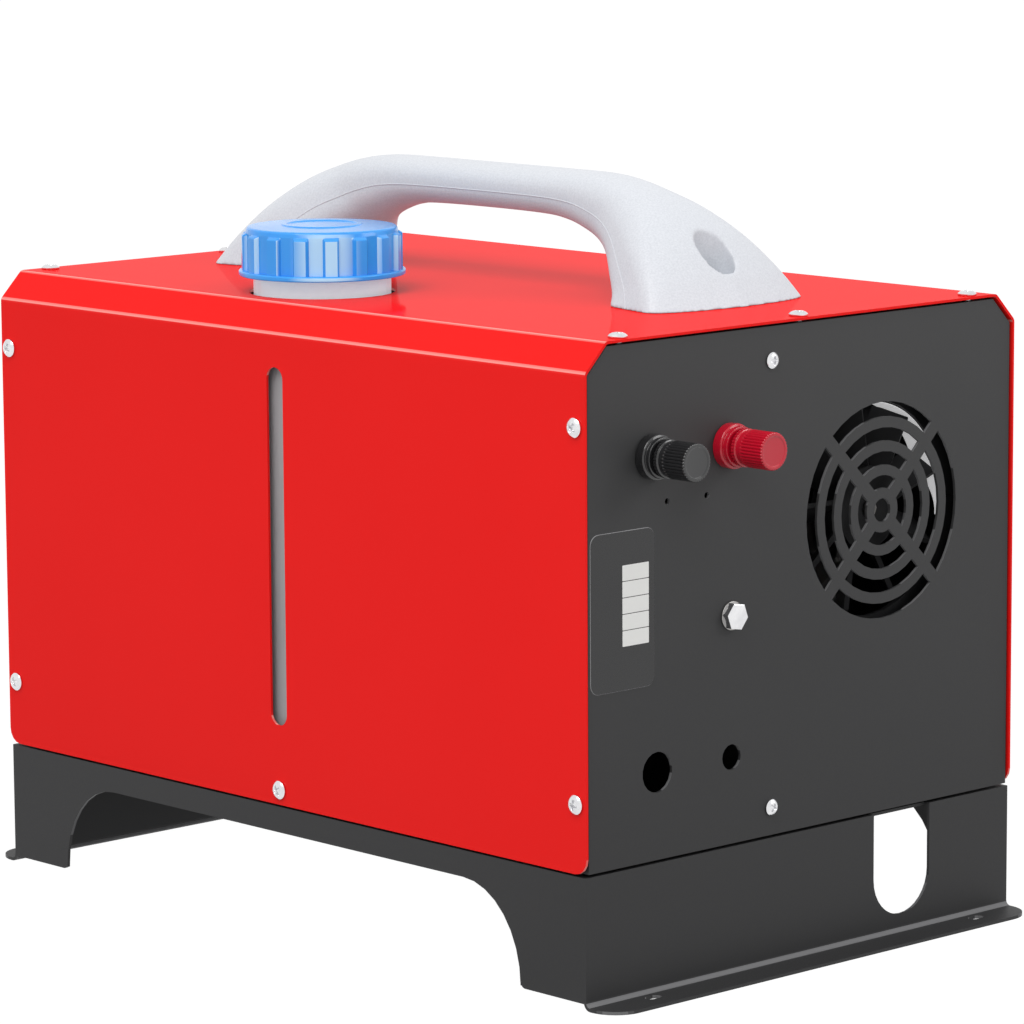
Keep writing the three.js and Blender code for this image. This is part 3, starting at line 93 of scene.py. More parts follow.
def seenRays(tree):
    # camera, glossy and transmission rays together, 0 or 1
    path = tree.nodes.new("ShaderNodeLightPath")
    first = tree.nodes.new("ShaderNodeMath")
    first.operation = "MAXIMUM"
    second = tree.nodes.new("ShaderNodeMath")
    second.operation = "MAXIMUM"
    tree.links.new(path.outputs["Is Camera Ray"], first.inputs[0])
    tree.links.new(path.outputs["Is Glossy Ray"], first.inputs[1])
    tree.links.new(first.outputs[0], second.inputs[0])
    tree.links.new(path.outputs["Is Transmission Ray"], second.inputs[1])
    return second.outputs[0]


room = {
    "worldLevel": 0.78,      # light from all round
    "worldSeen": 1.0,        # what the camera and reflections see of it
    "floorColour": (0.42, 0.42, 0.42, 1),
    "floorGlow": 0.95,       # share of plain white in the floor as it is seen
    "glowStrength": 1.06,    # of that white, 1 being paper white
    "floorSize": 120,
}


def makeRoom(r):
    world = bpy.data.worlds.new("studio")
    world.use_nodes = True
    tree = world.node_tree
    ground = tree.nodes["Background"]
    ground.inputs["Color"].default_value = (1, 1, 1, 1)
    level = tree.nodes.new("ShaderNodeMapRange")
    level.inputs["To Min"].default_value = r["worldLevel"]
    level.inputs["To Max"].default_value = r["worldSeen"]
    tree.links.new(seenRays(tree), level.inputs["Value"])
    tree.links.new(level.outputs["Result"], ground.inputs["Strength"])
    scene.world = world
    half = r["floorSize"] / 2
    mesh = bpy.data.meshes.new("floor")
    corners = [(-half, -half, 0), (half, -half, 0), (half, half, 0), (-half, half, 0)]
    mesh.from_pydata(corners, [], [(0, 1, 2, 3)])
    floor = bpy.data.objects.new("floor", mesh)
    scene.collection.objects.link(floor)
    mat = bpy.data.materials.new("floor")
    mat.use_nodes = True
    tree = mat.node_tree
    tree.nodes.clear()
    out = tree.nodes.new("ShaderNodeOutputMaterial")
    mix = tree.nodes.new("ShaderNodeMixShader")
    paint = tree.nodes.new("ShaderNodeBsdfDiffuse")
    paint.inputs["Color"].default_value = r["floorColour"]
    glow = tree.nodes.new("ShaderNodeEmission")
    glow.inputs["Color"].default_value = (1, 1, 1, 1)
    glow.inputs["Strength"].default_value = r["glowStrength"]
    share = tree.nodes.new("ShaderNodeMath")
    share.operation = "MULTIPLY"
    share.inputs[1].default_value = r["floorGlow"]
    tree.links.new(seenRays(tree), share.inputs[0])
    tree.links.new(share.outputs[0], mix.inputs[0])
    tree.links.new(paint.outputs[0], mix.inputs[1])
    tree.links.new(glow.outputs[0], mix.inputs[2])
    tree.links.new(mix.outputs[0], out.inputs["Surface"])
    mesh.materials.append(mat)


scene.view_settings.view_transform = "Standard"
makeCamera(camera)
makeRoom(room)
for lampName, lampValues in lamps.items():
    makeLamp(lampName, *lampValues)
print("camera, lights and floor made")

# materials

def newGroup(name, inputs, outputs):
    group = bpy.data.node_groups.new(name, "ShaderNodeTree")
    for label, kind, value in inputs:
        socket = group.interface.new_socket(label, in_out="INPUT", socket_type=kind)
        if value is not None:
            socket.default_value = value
    for label, kind in outputs:
        group.interface.new_socket(label, in_out="OUTPUT", socket_type=kind)
    return group, group.nodes.new("NodeGroupInput"), group.nodes.new("NodeGroupOutput")


def makeGrainGroup():
    # Two sizes of noise over the object: a fine one for the surface's bumps and its gloss, and a
    # broad one for slow changes of shade.
    group, start, end = newGroup("surface grain",
        [("Grain size", "NodeSocketFloat", 0.4), ("Depth", "NodeSocketFloat", 0.02),
         ("Patch size", "NodeSocketFloat", 60.0)],
        [("Normal", "NodeSocketVector"), ("Fine", "NodeSocketFloat"), ("Broad", "NodeSocketFloat")])
    nodes, links = group.nodes, group.links
    where = nodes.new("ShaderNodeTexCoord")
    results = []
    for label, detail in (("Grain size", 3), ("Patch size", 2)):
        scale = nodes.new("ShaderNodeMath")
        scale.operation = "DIVIDE"
        scale.inputs[0].default_value = 1000
        links.new(start.outputs[label], scale.inputs[1])
        noise = nodes.new("ShaderNodeTexNoise")
        noise.inputs["Detail"].default_value = detail
        links.new(where.outputs["Object"], noise.inputs["Vector"])
        links.new(scale.outputs[0], noise.inputs["Scale"])
        results.append(noise.outputs["Fac"])
    depth = nodes.new("ShaderNodeMath")
    depth.operation = "MULTIPLY"
    depth.inputs[1].default_value = mm
    links.new(start.outputs["Depth"], depth.inputs[0])
    bump = nodes.new("ShaderNodeBump")
    links.new(depth.outputs[0], bump.inputs["Distance"])
    links.new(results[0], bump.inputs["Height"])
    links.new(bump.outputs["Normal"], end.inputs["Normal"])
    links.new(results[0], end.inputs["Fine"])
    links.new(results[1], end.inputs["Broad"])
    return group


grainGroup = makeGrainGroup()


# A mask for the painted highlight on rounded edges and bends: how far the surface leans away from
# the three axes, as the largest part of its normal, is 1 on flat faces. The mask rises below High and,
# if Low is above 0, falls again there.
def makeEdgeHighlightGroup():
    group, start, end = newGroup("painted edge highlight",
        [("Low", "NodeSocketFloat", 0.0), ("High", "NodeSocketFloat", 0.97)], [("Mask", "NodeSocketFloat")])
    nodes, links = group.nodes, group.links
    where = nodes.new("ShaderNodeTexCoord")
    size = nodes.new("ShaderNodeVectorMath")
    size.operation = "ABSOLUTE"
    links.new(where.outputs["Normal"], size.inputs[0])
    parts = nodes.new("ShaderNodeSeparateXYZ")
    links.new(size.outputs[0], parts.inputs[0])
    larger = nodes.new("ShaderNodeMath")
    larger.operation = "MAXIMUM"
    largest = nodes.new("ShaderNodeMath")
    largest.operation = "MAXIMUM"
    links.new(parts.outputs[0], larger.inputs[0])
    links.new(parts.outputs[1], larger.inputs[1])
    links.new(larger.outputs[0], largest.inputs[0])
    links.new(parts.outputs[2], largest.inputs[1])
    results = []
    for label, width in (("High", 0.03), ("Low", 0.06)):
        top = nodes.new("ShaderNodeMath")
        top.operation = "ADD"
        top.inputs[1].default_value = width
        links.new(start.outputs[label], top.inputs[0])
        step = nodes.new("ShaderNodeMapRange")
        step.interpolation_type = "SMOOTHSTEP"
        if label == "High":
            step.inputs["To Min"].default_value = 1
            step.inputs["To Max"].default_value = 0
        links.new(largest.outputs[0], step.inputs["Value"])
        links.new(start.outputs[label], step.inputs["From Min"])
        links.new(top.outputs[0], step.inputs["From Max"])
        results.append(step.outputs["Result"])
    both = nodes.new("ShaderNodeMath")
    both.operation = "MULTIPLY"
    links.new(results[0], both.inputs[0])
    links.new(results[1], both.inputs[1])
    links.new(both.outputs[0], end.inputs["Mask"])
    return group


edgeHighlightGroup = makeEdgeHighlightGroup()


def mixed(tree, a, b, factor):
    # a colour that runs from a to b as factor goes from 0 to 1
    node = tree.nodes.new("ShaderNodeMix")
    node.data_type = "RGBA"
    node.inputs["A"].default_value = (*a, 1)
    node.inputs["B"].default_value = (*b, 1)
    tree.links.new(factor, node.inputs["Factor"])
    return node.outputs["Result"]


def makeMaterial(name, m):
    # A surface with fine bumps, gloss that varies with them, and a slow change of shade, or with speckle
    # a shade that follows the bumps.
    mat = bpy.data.materials.new(name)
    mat.use_nodes = True
    tree = mat.node_tree
    shader = tree.nodes["Principled BSDF"]
    grain = tree.nodes.new("ShaderNodeGroup")
    grain.node_tree = grainGroup
    grain.inputs["Grain size"].default_value = m.get("grain", 0.5)
    grain.inputs["Depth"].default_value = m.get("depth", 0.02)
    grain.inputs["Patch size"].default_value = m.get("patch", 60)
    shade = tree.nodes.new("ShaderNodeMapRange")
    shade.inputs["From Min"].default_value = 0.3
    shade.inputs["From Max"].default_value = 0.7
    tree.links.new(grain.outputs["Fine" if m.get("speckle") else "Broad"], shade.inputs["Value"])
    colour = mixed(tree, m["colour"], m["other"], shade.outputs[0])
    glow = None
    if "low" in m:     # painted shade: a darker second colour below a height, for the tank in the cover's shadow and for the black sheet darker towards the bottom
        where = tree.nodes.new("ShaderNodeTexCoord")
        parts = tree.nodes.new("ShaderNodeSeparateXYZ")
        level = tree.nodes.new("ShaderNodeMapRange")
        level.inputs["From Min"].default_value, level.inputs["From Max"].default_value = m["lowRange"]
        wall = tree.nodes.new("ShaderNodeMix")
        wall.data_type = "RGBA"
        wall.inputs["A"].default_value = (*m["low"], 1)
        tree.links.new(where.outputs["Object"], parts.inputs[0])
        tree.links.new(parts.outputs[2], level.inputs["Value"])
        tree.links.new(level.outputs["Result"], wall.inputs["Factor"])
        tree.links.new(colour, wall.inputs["B"])
        colour = wall.outputs["Result"]
        glow = mixed(tree, (0, 0, 0), m["colour"], level.outputs["Result"])
    if "facing" in m:     # painted highlight: the colour is lighter on the side turned to one fixed direction, where the light fell on the translucent wall
        where = tree.nodes.new("ShaderNodeTexCoord")
        toward = tree.nodes.new("ShaderNodeVectorMath")
        toward.operation = "DOT_PRODUCT"
        toward.inputs[1].default_value = m["facingWay"]
        level = tree.nodes.new("ShaderNodeMapRange")
        level.interpolation_type = "SMOOTHSTEP"
        level.inputs["From Min"].default_value, level.inputs["From Max"].default_value = m["facingRange"]
        level.inputs["To Max"].default_value = 0.75
        light = tree.nodes.new("ShaderNodeMix")
        light.data_type = "RGBA"
        light.inputs["B"].default_value = (*m["facing"], 1)
        tree.links.new(where.outputs["Normal"], toward.inputs[0])
        tree.links.new(toward.outputs["Value"], level.inputs["Value"])
        tree.links.new(level.outputs["Result"], light.inputs["Factor"])
        tree.links.new(colour, light.inputs["A"])
        colour = light.outputs["Result"]
    # painted highlight: the colour turns lighter on rounded edges and bends, where the light catches them
    if "edge" in m:
        edge = tree.nodes.new("ShaderNodeGroup")
        edge.node_tree = edgeHighlightGroup
        edge.inputs["Low"].default_value, edge.inputs["High"].default_value = m["edgeHighlightRange"]
        lit = tree.nodes.new("ShaderNodeMix")
        lit.data_type = "RGBA"
        lit.inputs["B"].default_value = (*m["edge"], 1)
        tree.links.new(edge.outputs["Mask"], lit.inputs["Factor"])
        tree.links.new(colour, lit.inputs["A"])
        colour = lit.outputs["Result"]
    if "bounce" in m:     # a plainer colour for the light it throws on other pieces
        path = tree.nodes.new("ShaderNodeLightPath")
        thrown = tree.nodes.new("ShaderNodeMix")
        thrown.data_type = "RGBA"
        thrown.inputs["B"].default_value = (*m["bounce"], 1)
        tree.links.new(path.outputs["Is Diffuse Ray"], thrown.inputs["Factor"])
        tree.links.new(colour, thrown.inputs["A"])
        colour = thrown.outputs["Result"]
    tree.links.new(colour, shader.inputs["Base Color"])
    gloss = tree.nodes.new("ShaderNodeMapRange")
    gloss.inputs["From Min"].default_value = 0.3
    gloss.inputs["From Max"].default_value = 0.7
    gloss.inputs["To Min"].default_value = m["roughness"] - 0.04
    gloss.inputs["To Max"].default_value = m["roughness"] + 0.05
    tree.links.new(grain.outputs["Fine"], gloss.inputs["Value"])
    tree.links.new(gloss.outputs[0], shader.inputs["Roughness"])
    tree.links.new(grain.outputs["Normal"], shader.inputs["Normal"])
    shader.inputs["Metallic"].default_value = m.get("metallic", 0)
    shader.inputs["Specular IOR Level"].default_value = m.get("specular", 0.5)
    shader.inputs["Coat Weight"].default_value = m.get("coat", 0)
    shader.inputs["Coat Roughness"].default_value = m.get("coatRoughness", 0.1)
    shader.inputs["Subsurface Weight"].default_value = m.get("subsurface", 0)
    shader.inputs["Subsurface Radius"].default_value = (1, 1, 1)
    shader.inputs["Subsurface Scale"].default_value = m.get("scatter", 0.003)
    shader.inputs["Emission Color"].default_value = (*m["colour"], 1)
    shader.inputs["Emission Strength"].default_value = m.get("inner", 0)   # painted glow, standing in for light scattered through it
    if glow and m.get("inner", 0):     # only above that height, because no light gets in below it
        tree.links.new(glow, shader.inputs["Emission Color"])
    return mat


# edge: a painted highlight, a lighter colour on rounded edges and bends
# facing: a painted highlight, the cap lighter on the side turned one fixed way
# inner: a painted glow, the surface giving off light of its own colour
# low: a painted shade, a darker colour below a height
looks = {
    "red_paint": dict(colour=(0.88, 0.011, 0.010), other=(0.86, 0.010, 0.009), roughness=0.5, grain=0.9,
                      depth=0.003, patch=120, specular=0, coat=0.17, coatRoughness=0.06,
                      edge=(0.95, 0.30, 0.27), edgeHighlightRange=(0.76, 0.965), bounce=(0.50, 0.36, 0.37)),
    "black_paint": dict(colour=(0.048, 0.048, 0.049), other=(0.043, 0.043, 0.044), roughness=0.55, grain=0.7,
                        depth=0.012, patch=90, specular=0.28, low=(0.029, 0.029, 0.030),
                        lowRange=(0.05, 0.29), edge=(0.16, 0.16, 0.165), edgeHighlightRange=(-0.1, 0.94)),
    "grey_plastic": dict(colour=(0.66, 0.68, 0.72), other=(0.57, 0.59, 0.63), roughness=0.42, grain=0.9,
                         depth=0.02, speckle=True),
    "milky_plastic": dict(colour=(0.90, 0.92, 0.95), other=(0.86, 0.88, 0.91), roughness=0.35, grain=1.5,
                          depth=0.01, subsurface=0.5, scatter=0.012, inner=0.18,
                          low=(0.40, 0.39, 0.40), lowRange=(0.288, 0.298)),
    "blue_plastic": dict(colour=(0.030, 0.29, 0.78), other=(0.045, 0.33, 0.84), roughness=0.18, grain=1.2,
                         depth=0.006, subsurface=0.2, scatter=0.004, specular=0.3, coat=0.2,
                         facing=(0.62, 0.84, 0.98), facingRange=(0.88, 1.0), facingWay=(0.62, 0.78, 0.05)),
    "black_plastic": dict(colour=(0.016, 0.016, 0.017), other=(0.011, 0.011, 0.012), roughness=0.55,
                          grain=0.6, depth=0.02, specular=0.2),
    "gloss_black": dict(colour=(0.012, 0.012, 0.013), other=(0.016, 0.016, 0.017), roughness=0.16, grain=0.8,
                        depth=0.002, coat=0.5, coatRoughness=0.05),
    "red_plastic": dict(colour=(0.56, 0.005, 0.024), other=(0.50, 0.004, 0.020), roughness=0.16, grain=0.8,
                        depth=0.002, specular=0.35, coat=0.4, coatRoughness=0.05),
    "nickel": dict(colour=(0.83, 0.83, 0.84), other=(0.70, 0.70, 0.72), roughness=0.22, metallic=1, grain=0.5,
                   depth=0.006, patch=6),
    "cast_aluminium": dict(colour=(0.62, 0.62, 0.63), other=(0.5, 0.5, 0.51), roughness=0.45, metallic=1,
                           grain=0.8, depth=0.05, patch=10),
    "steel": dict(colour=(0.42, 0.41, 0.40), other=(0.30, 0.29, 0.28), roughness=0.36, metallic=1, grain=0.6,
                  depth=0.01, patch=12),
    "rubber": dict(colour=(0.02, 0.02, 0.02), other=(0.03, 0.03, 0.03), roughness=0.75, grain=0.7,
                   depth=0.03),
    "board": dict(colour=(0.02, 0.16, 0.06), other=(0.02, 0.13, 0.05), roughness=0.4, grain=1.2, depth=0.01),
    "fuel_hose": dict(colour=(0.03, 0.18, 0.06), other=(0.02, 0.13, 0.05), roughness=0.3, grain=1,
                      depth=0.01),
    "screen": dict(colour=(0.01, 0.012, 0.014), other=(0.014, 0.016, 0.02), roughness=0.1, grain=2,
                   depth=0.001),
    "pale_metal": dict(colour=(0.90, 0.90, 0.91), other=(0.82, 0.82, 0.84), roughness=0.5, grain=0.8,
                       depth=0.01, patch=8, inner=0.42),
    "label_film": dict(colour=(0.014, 0.014, 0.015), other=(0.020, 0.020, 0.021), roughness=0.25, grain=1.1,
                       depth=0.003, edge=(0.30, 0.30, 0.31), edgeHighlightRange=(-0.1, 0.9)),
    "label_field": dict(colour=(0.82, 0.82, 0.80), other=(0.78, 0.78, 0.76), roughness=0.35, grain=1.1,
                        depth=0.003),
}
materials = {name: makeMaterial(name, look) for name, look in looks.items()}
print("materials made:", len(materials))

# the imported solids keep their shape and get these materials

def makeSmoothGroup():
    # Smooth shading, except over edges that bend more than the stated angle.
    group = bpy.data.node_groups.new("smooth by angle", "GeometryNodeTree")
    group.interface.new_socket("Geometry", in_out="INPUT", socket_type="NodeSocketGeometry")
    angle = group.interface.new_socket("Angle", in_out="INPUT", socket_type="NodeSocketFloat")
    angle.default_value = math.radians(32)
    group.interface.new_socket("Geometry", in_out="OUTPUT", socket_type="NodeSocketGeometry")
    nodes, links = group.nodes, group.links
    start, end = nodes.new("NodeGroupInput"), nodes.new("NodeGroupOutput")
    faces = nodes.new("GeometryNodeSetShadeSmooth")
    edges = nodes.new("GeometryNodeSetShadeSmooth")
    edges.domain = "EDGE"
    edges.inputs["Shade Smooth"].default_value = False
    bend = nodes.new("GeometryNodeInputMeshEdgeAngle")
    sharp = nodes.new("FunctionNodeCompare")
    sharp.data_type = "FLOAT"
    sharp.operation = "GREATER_THAN"
    links.new(start.outputs["Geometry"], faces.inputs["Geometry"])
    links.new(faces.outputs[0], edges.inputs["Geometry"])
    links.new(bend.outputs["Unsigned Angle"], sharp.inputs["A"])
    links.new(start.outputs["Angle"], sharp.inputs["B"])
    links.new(sharp.outputs[0], edges.inputs["Selection"])
    links.new(edges.outputs[0], end.inputs["Geometry"])
    return group


smoothGroup = makeSmoothGroup()


def smoothShading(obj, weighted=True):
    obj.modifiers.new("smooth", "NODES").node_group = smoothGroup
    if weighted:
        even = obj.modifiers.new("even normals", "WEIGHTED_NORMAL")
        even.keep_sharp = True
        even.weight = 100


foldedSheet = {"nodes": ("stand", "rear_panel", "front_panel"), "edge": 0.45, "segments": 2, "sharpest": 40}
slotOf = {row["node"]: row["material_slot"] for row in frame["record"]["subparts"]}
for node, obj in frame["nodes"].items():
    if not obj.material_slots:
        obj.data.materials.append(None)
    for place in obj.material_slots:
        place.material = materials[slotOf[node]]
    if node in foldedSheet["nodes"]:
        edges = obj.modifiers.new("rounded edges", "BEVEL")
        edges.width = foldedSheet["edge"] * mm
        edges.segments = foldedSheet["segments"]
        edges.limit_method = "ANGLE"
        edges.angle_limit = math.radians(foldedSheet["sharpest"])
    smoothShading(obj)
print("packed solids dressed:", len(slotOf))

# surfaces of the new pieces

def gridObject(name, points, look, body, smoothed=True):
    # points is an array of rings x points around x 3, in mm. Rings that meet in one point are
    # closed there, and the faces are turned outwards.
    rings, around = points.shape[:2]
    i = np.arange(rings - 1)[:, None]
    k = np.arange(around)[None, :]
    after = (k + 1) % around
    quads = np.stack([i * around + k, i * around + after, (i + 1) * around + after, (i + 1) * around + k], -1)
    mesh = bpy.data.meshes.new(name)
    mesh.from_pydata((points.reshape(-1, 3) * mm).tolist(), [], quads.reshape(-1, 4).tolist())
    return finished(name, mesh, look, body, smoothed)


def finished(name, mesh, look, body, smoothed=True):
    bm = bmesh.new()
    bm.from_mesh(mesh)
    bmesh.ops.remove_doubles(bm, verts=bm.verts, dist=1e-6)
    rims = [e for e in bm.edges if e.is_boundary]
    if rims:
        bmesh.ops.holes_fill(bm, edges=rims, sides=0)
    bmesh.ops.recalc_face_normals(bm, faces=bm.faces)
    bm.to_mesh(mesh)
    bm.free()
    obj = bpy.data.objects.new(name, mesh)
    scene.collection.objects.link(obj)
    mesh.materials.append(materials[look])
    if smoothed:
        smoothShading(obj)
    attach(obj, body)
    return obj


def rounded(corners, steps=4):
    # A line of (r, h) or (r, h, radius) corners with each corner that has a radius rounded off.
    line = []
    count = len(corners)
    for j, corner in enumerate(corners):
        here = np.array(corner[:2], float)
        radius = corner[2] if len(corner) > 2 else 0
        if radius == 0 or j in (0, count - 1):
            line.append(here)
            continue
        back = np.array(corners[j - 1][:2], float) - here
        ahead = np.array(corners[j + 1][:2], float) - here
        back, ahead = back / np.linalg.norm(back), ahead / np.linalg.norm(ahead)
        half = math.acos(np.clip(back @ ahead, -1, 1)) / 2
        reach = radius / math.tan(half)
        middle = here + (back + ahead) / np.linalg.norm(back + ahead) * radius / math.sin(half)
        first, last = here + back * reach - middle, here + ahead * reach - middle
        turn = math.atan2(first[0] * last[1] - first[1] * last[0], first @ last)
        for t in np.linspace(0, turn, steps + 1):
            c, s = math.cos(t), math.sin(t)
            line.append(middle + np.array([first[0] * c - first[1] * s, first[0] * s + first[1] * c]))
    return np.array(line)


def alongAxis(axis, across, height, side):
    # points from two directions square to the z or y axis and the height along it
    return np.stack([across, side, height] if axis == "z" else [across, height, side], -1)


def turnedObject(name, profile, origin, axis, look, body, steps=96, wave=None):
    # A profile of (radius, height) turned about an axis. wave(angle, radius, height) may add to the radius.
    profile = np.array(profile, float)
    angle = np.linspace(0, 2 * math.pi, steps, endpoint=False)[None, :]
    radius, height = profile[:, :1], profile[:, 1:2] * np.ones_like(angle)
    radius = radius * np.ones_like(angle)
    if wave:
        radius = radius + wave(angle * np.ones_like(radius), radius, height)
    points = alongAxis(axis, radius * np.cos(angle), height, radius * np.sin(angle)) + np.array(origin)
    return gridObject(name, points, look, body)


def smoothStep(x, low, high):
    t = np.clip((x - low) / (high - low), 0, 1)
    return t * t * (3 - 2 * t)


# carrying handle

handle = {
    "x": -8, "y": -6.5,
    "top": 357, "underside": 335.5, "base": 300.02,
    "gripHalf": 17,
    "halfLength": 168.4, "footDepth": 50, "footHalf": 52,
    "innerTaper": 0.18,
    "screwY": 148, "recess": 9.5, "recessFloor": 309,
    "voxel": 0.95, "softShare": 0.5, "softRounds": 3,
    "partingRadius": 0.28, "partingPlace": -0.12,
}


def handleStations(h, shares):
    # Side view, half width, squareness and bow of the band at shares from -1, the front foot, to 1.
    top, under, half = h["top"], h["underside"], h["gripHalf"]
    rows = np.array([
        [0, top, 0, under, half, 2.5, 0],
        [48, top, 41, under - 0.5, half, 2.5, 0],
        [75, top - 0.3, 58, under - 2.4, half + 0.5, 2.5, 0],
        [91, top - 2.2, 71, under - 5.8, half + 2, 2.6, 0],
        [107, top - 6.3, 83, under - 10.5, half + 4.5, 2.7, 1],
        [124, top - 13.2, 95, under - 16.6, half + 11.5, 3, 3],
        [142, top - 25.6, 106, under - 24.5, half + 20.5, 4, 6],
        [158, top - 42.2, 115, under - 31, half + 28.5, 6, 8],
        [h["halfLength"], h["base"], h["halfLength"] - h["footDepth"], h["base"], h["footHalf"], 8, 9],
    ])
    mirror = rows[1] * np.array([-1, 1, -1, 1, 1, 1, 1])
    table = np.vstack([mirror, rows, rows[-1]])
    place = np.abs(shares) * (len(rows) - 1)
    before = np.minimum(place.astype(int), len(rows) - 2)
    t = (place - before)[:, None]
    a, b, c, d = (table[before + k] for k in range(4))
    return b + t * (c - a + t * (2 * a - 5 * b + 4 * c - d + t * (3 * (b - c) + d - a))) / 2


def handlePoints(h, shares, across, out):
    # Points of the band: across and out run from -1 to 1 over the width and from underside to top.
    outerY, outerZ, innerY, innerZ, halfWidth, _, bow = (c[:, None] for c in handleStations(h, shares).T)
    outward = (1 + out) / 2
    taper = 1 - h["innerTaper"] * (1 - outward) * np.abs(shares[:, None]) ** 2
    y = innerY + (outerY - innerY) * outward - bow * outward * across ** 2
    z = np.maximum(h["base"], innerZ + (outerZ - innerZ) * outward)
    return np.stack([h["x"] + across * halfWidth * taper, h["y"] + np.sign(shares[:, None]) * y, z], -1)


def makeHandle(h):
    shares = np.linspace(-1, 1, 241)
    shares[120] = 1e-9
    squareness = handleStations(h, shares)[:, 5:6]
    angle = np.linspace(0, 2 * math.pi, 96, endpoint=False)[None, :]
    across = np.sign(np.cos(angle)) * np.abs(np.cos(angle)) ** (2 / squareness)
    out = np.sign(np.sin(angle)) * np.abs(np.sin(angle)) ** (2 / squareness)
    body = gridObject("handle_moulding", handlePoints(h, shares, across, out), "grey_plastic", "case", False)
    cutters = []
    for end in (-1, 1):
        low, high = h["recessFloor"], h["top"] + 13
        profile = [(0, low), (h["recess"], low), (h["recess"], high), (0, high)]
        cutter = turnedObject(f"recess_cutter_{end}", profile, (h["x"], h["y"] + end * h["screwY"], 0), "z",
                              "grey_plastic", "case")
        cut = body.modifiers.new("recess", "BOOLEAN")
        cut.object = cutter
        cut.solver = "EXACT"
        cutters.append(cutter)
    even = body.modifiers.new("even mesh", "REMESH")
    even.mode = "VOXEL"
    even.voxel_size = h["voxel"] * mm
    soft = body.modifiers.new("soft edges", "SMOOTH")
    soft.factor = h["softShare"]
    soft.iterations = h["softRounds"]
    graph = bpy.context.evaluated_depsgraph_get()
    shape = bpy.data.meshes.new_from_object(body.evaluated_get(graph))
    body.modifiers.clear()
    body.data = shape
    shape.polygons.foreach_set("use_smooth", np.ones(len(shape.polygons), bool))
    for cutter in cutters:
        bpy.data.objects.remove(cutter)
    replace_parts(body, "handle")
    # the moulding's parting line is a thin rib half sunk in each side
    line = np.linspace(-0.995, 0.995, 200)
    level = np.full((200, 1), h["partingPlace"])
    for name, side in (("right", 1), ("left", -1)):
        middle = handlePoints(h, line, np.full((200, 1), side * 0.999), level)[:, 0]
        along = np.gradient(middle, axis=0)
        along /= np.linalg.norm(along, axis=1)[:, None]
        first = np.cross(along, [side * 1.0, 0, 0])
        first /= np.linalg.norm(first, axis=1)[:, None]
        second = np.cross(along, first)
        turn = np.linspace(0, 2 * math.pi, 8, endpoint=False)
        ring = first[:, None] * np.cos(turn)[:, None] + second[:, None] * np.sin(turn)[:, None]
        points = middle[:, None] + ring * h["partingRadius"]
        gridObject(f"handle_parting_line_{name}", points, "grey_plastic", "case")


makeHandle(handle)
print("handle made")

# fuel cap

cap = {
    "x": 85.2, "y": -30,
    "bottom": 308.3, "top": 332,
    "body": 36.6, "rib": 38.6, "flange": 40, "flangeHeight": 2.6, "topRadius": 34.6,
    "ribs": 16, "phase": 11, "ribShare": 0.46, "ribLow": 2.6, "ribHigh": 20.8,
    "ringIn": 17, "ringOut": 19, "ringHeight": 0.5, "wall": 4, "bore": 33.5,
}


def makeCap(c):
    low, high = c["bottom"], c["top"]

    def ribs(angle, radius, height):
        turn = (angle - math.radians(c["phase"])) * c["ribs"] / (2 * math.pi)
        fromRib = np.abs((turn + 0.5) % 1 - 0.5)
        over = 1 - smoothStep(fromRib, c["ribShare"] / 2 - 0.035, c["ribShare"] / 2 + 0.035)
        window = smoothStep(height, low + c["ribLow"] - 1, low + c["ribLow"]) * (
            1 - smoothStep(height, low + c["ribHigh"] - 1.6, low + c["ribHigh"]))
        outside = (radius > c["body"] - 1.6) & (radius < c["body"] + 0.3)
        return over * window * outside * (c["rib"] - c["body"])

    side = np.linspace(low + c["flangeHeight"] + 0.3, high - 3.2, 40)
    profile = np.vstack([
        rounded([(0, high - c["wall"]), (c["bore"], high - c["wall"], 1), (c["bore"], low, 0.4),
                 (c["flange"], low, 0.7), (c["flange"], low + c["flangeHeight"], 0.9),
                 (c["body"], low + c["flangeHeight"])], 5),
        np.stack([np.full(40, c["body"]), side], -1),
        rounded([(c["body"], high - 3), (c["topRadius"] + 1.3, high - 0.5, 1.6),
                 (c["ringOut"] + 1, high + 0.1)], 8),
        rounded([(c["ringOut"] + 0.6, high + 0.1), (c["ringOut"], high + 0.1 + c["ringHeight"], 0.2),
                 (c["ringIn"], high + 0.1 + c["ringHeight"], 0.2), (c["ringIn"] - 0.6, high + 0.1, 0.3),
                 (0, high + 0.2)], 3),
    ])
    piece = turnedObject("fuel_cap_moulding", profile, (c["x"], c["y"], 0), "z", "blue_plastic", "cap",
                         steps=384, wave=ribs)
    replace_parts(piece, "fuel_cap")


makeCap(cap)
print("fuel cap made")

# screws

screw = {"head": 4.45, "height": 2.4, "shank": 1.95, "length": 10, "cross": 2.5, "crossWidth": 0.62,
         "crossDepth": 1.3}


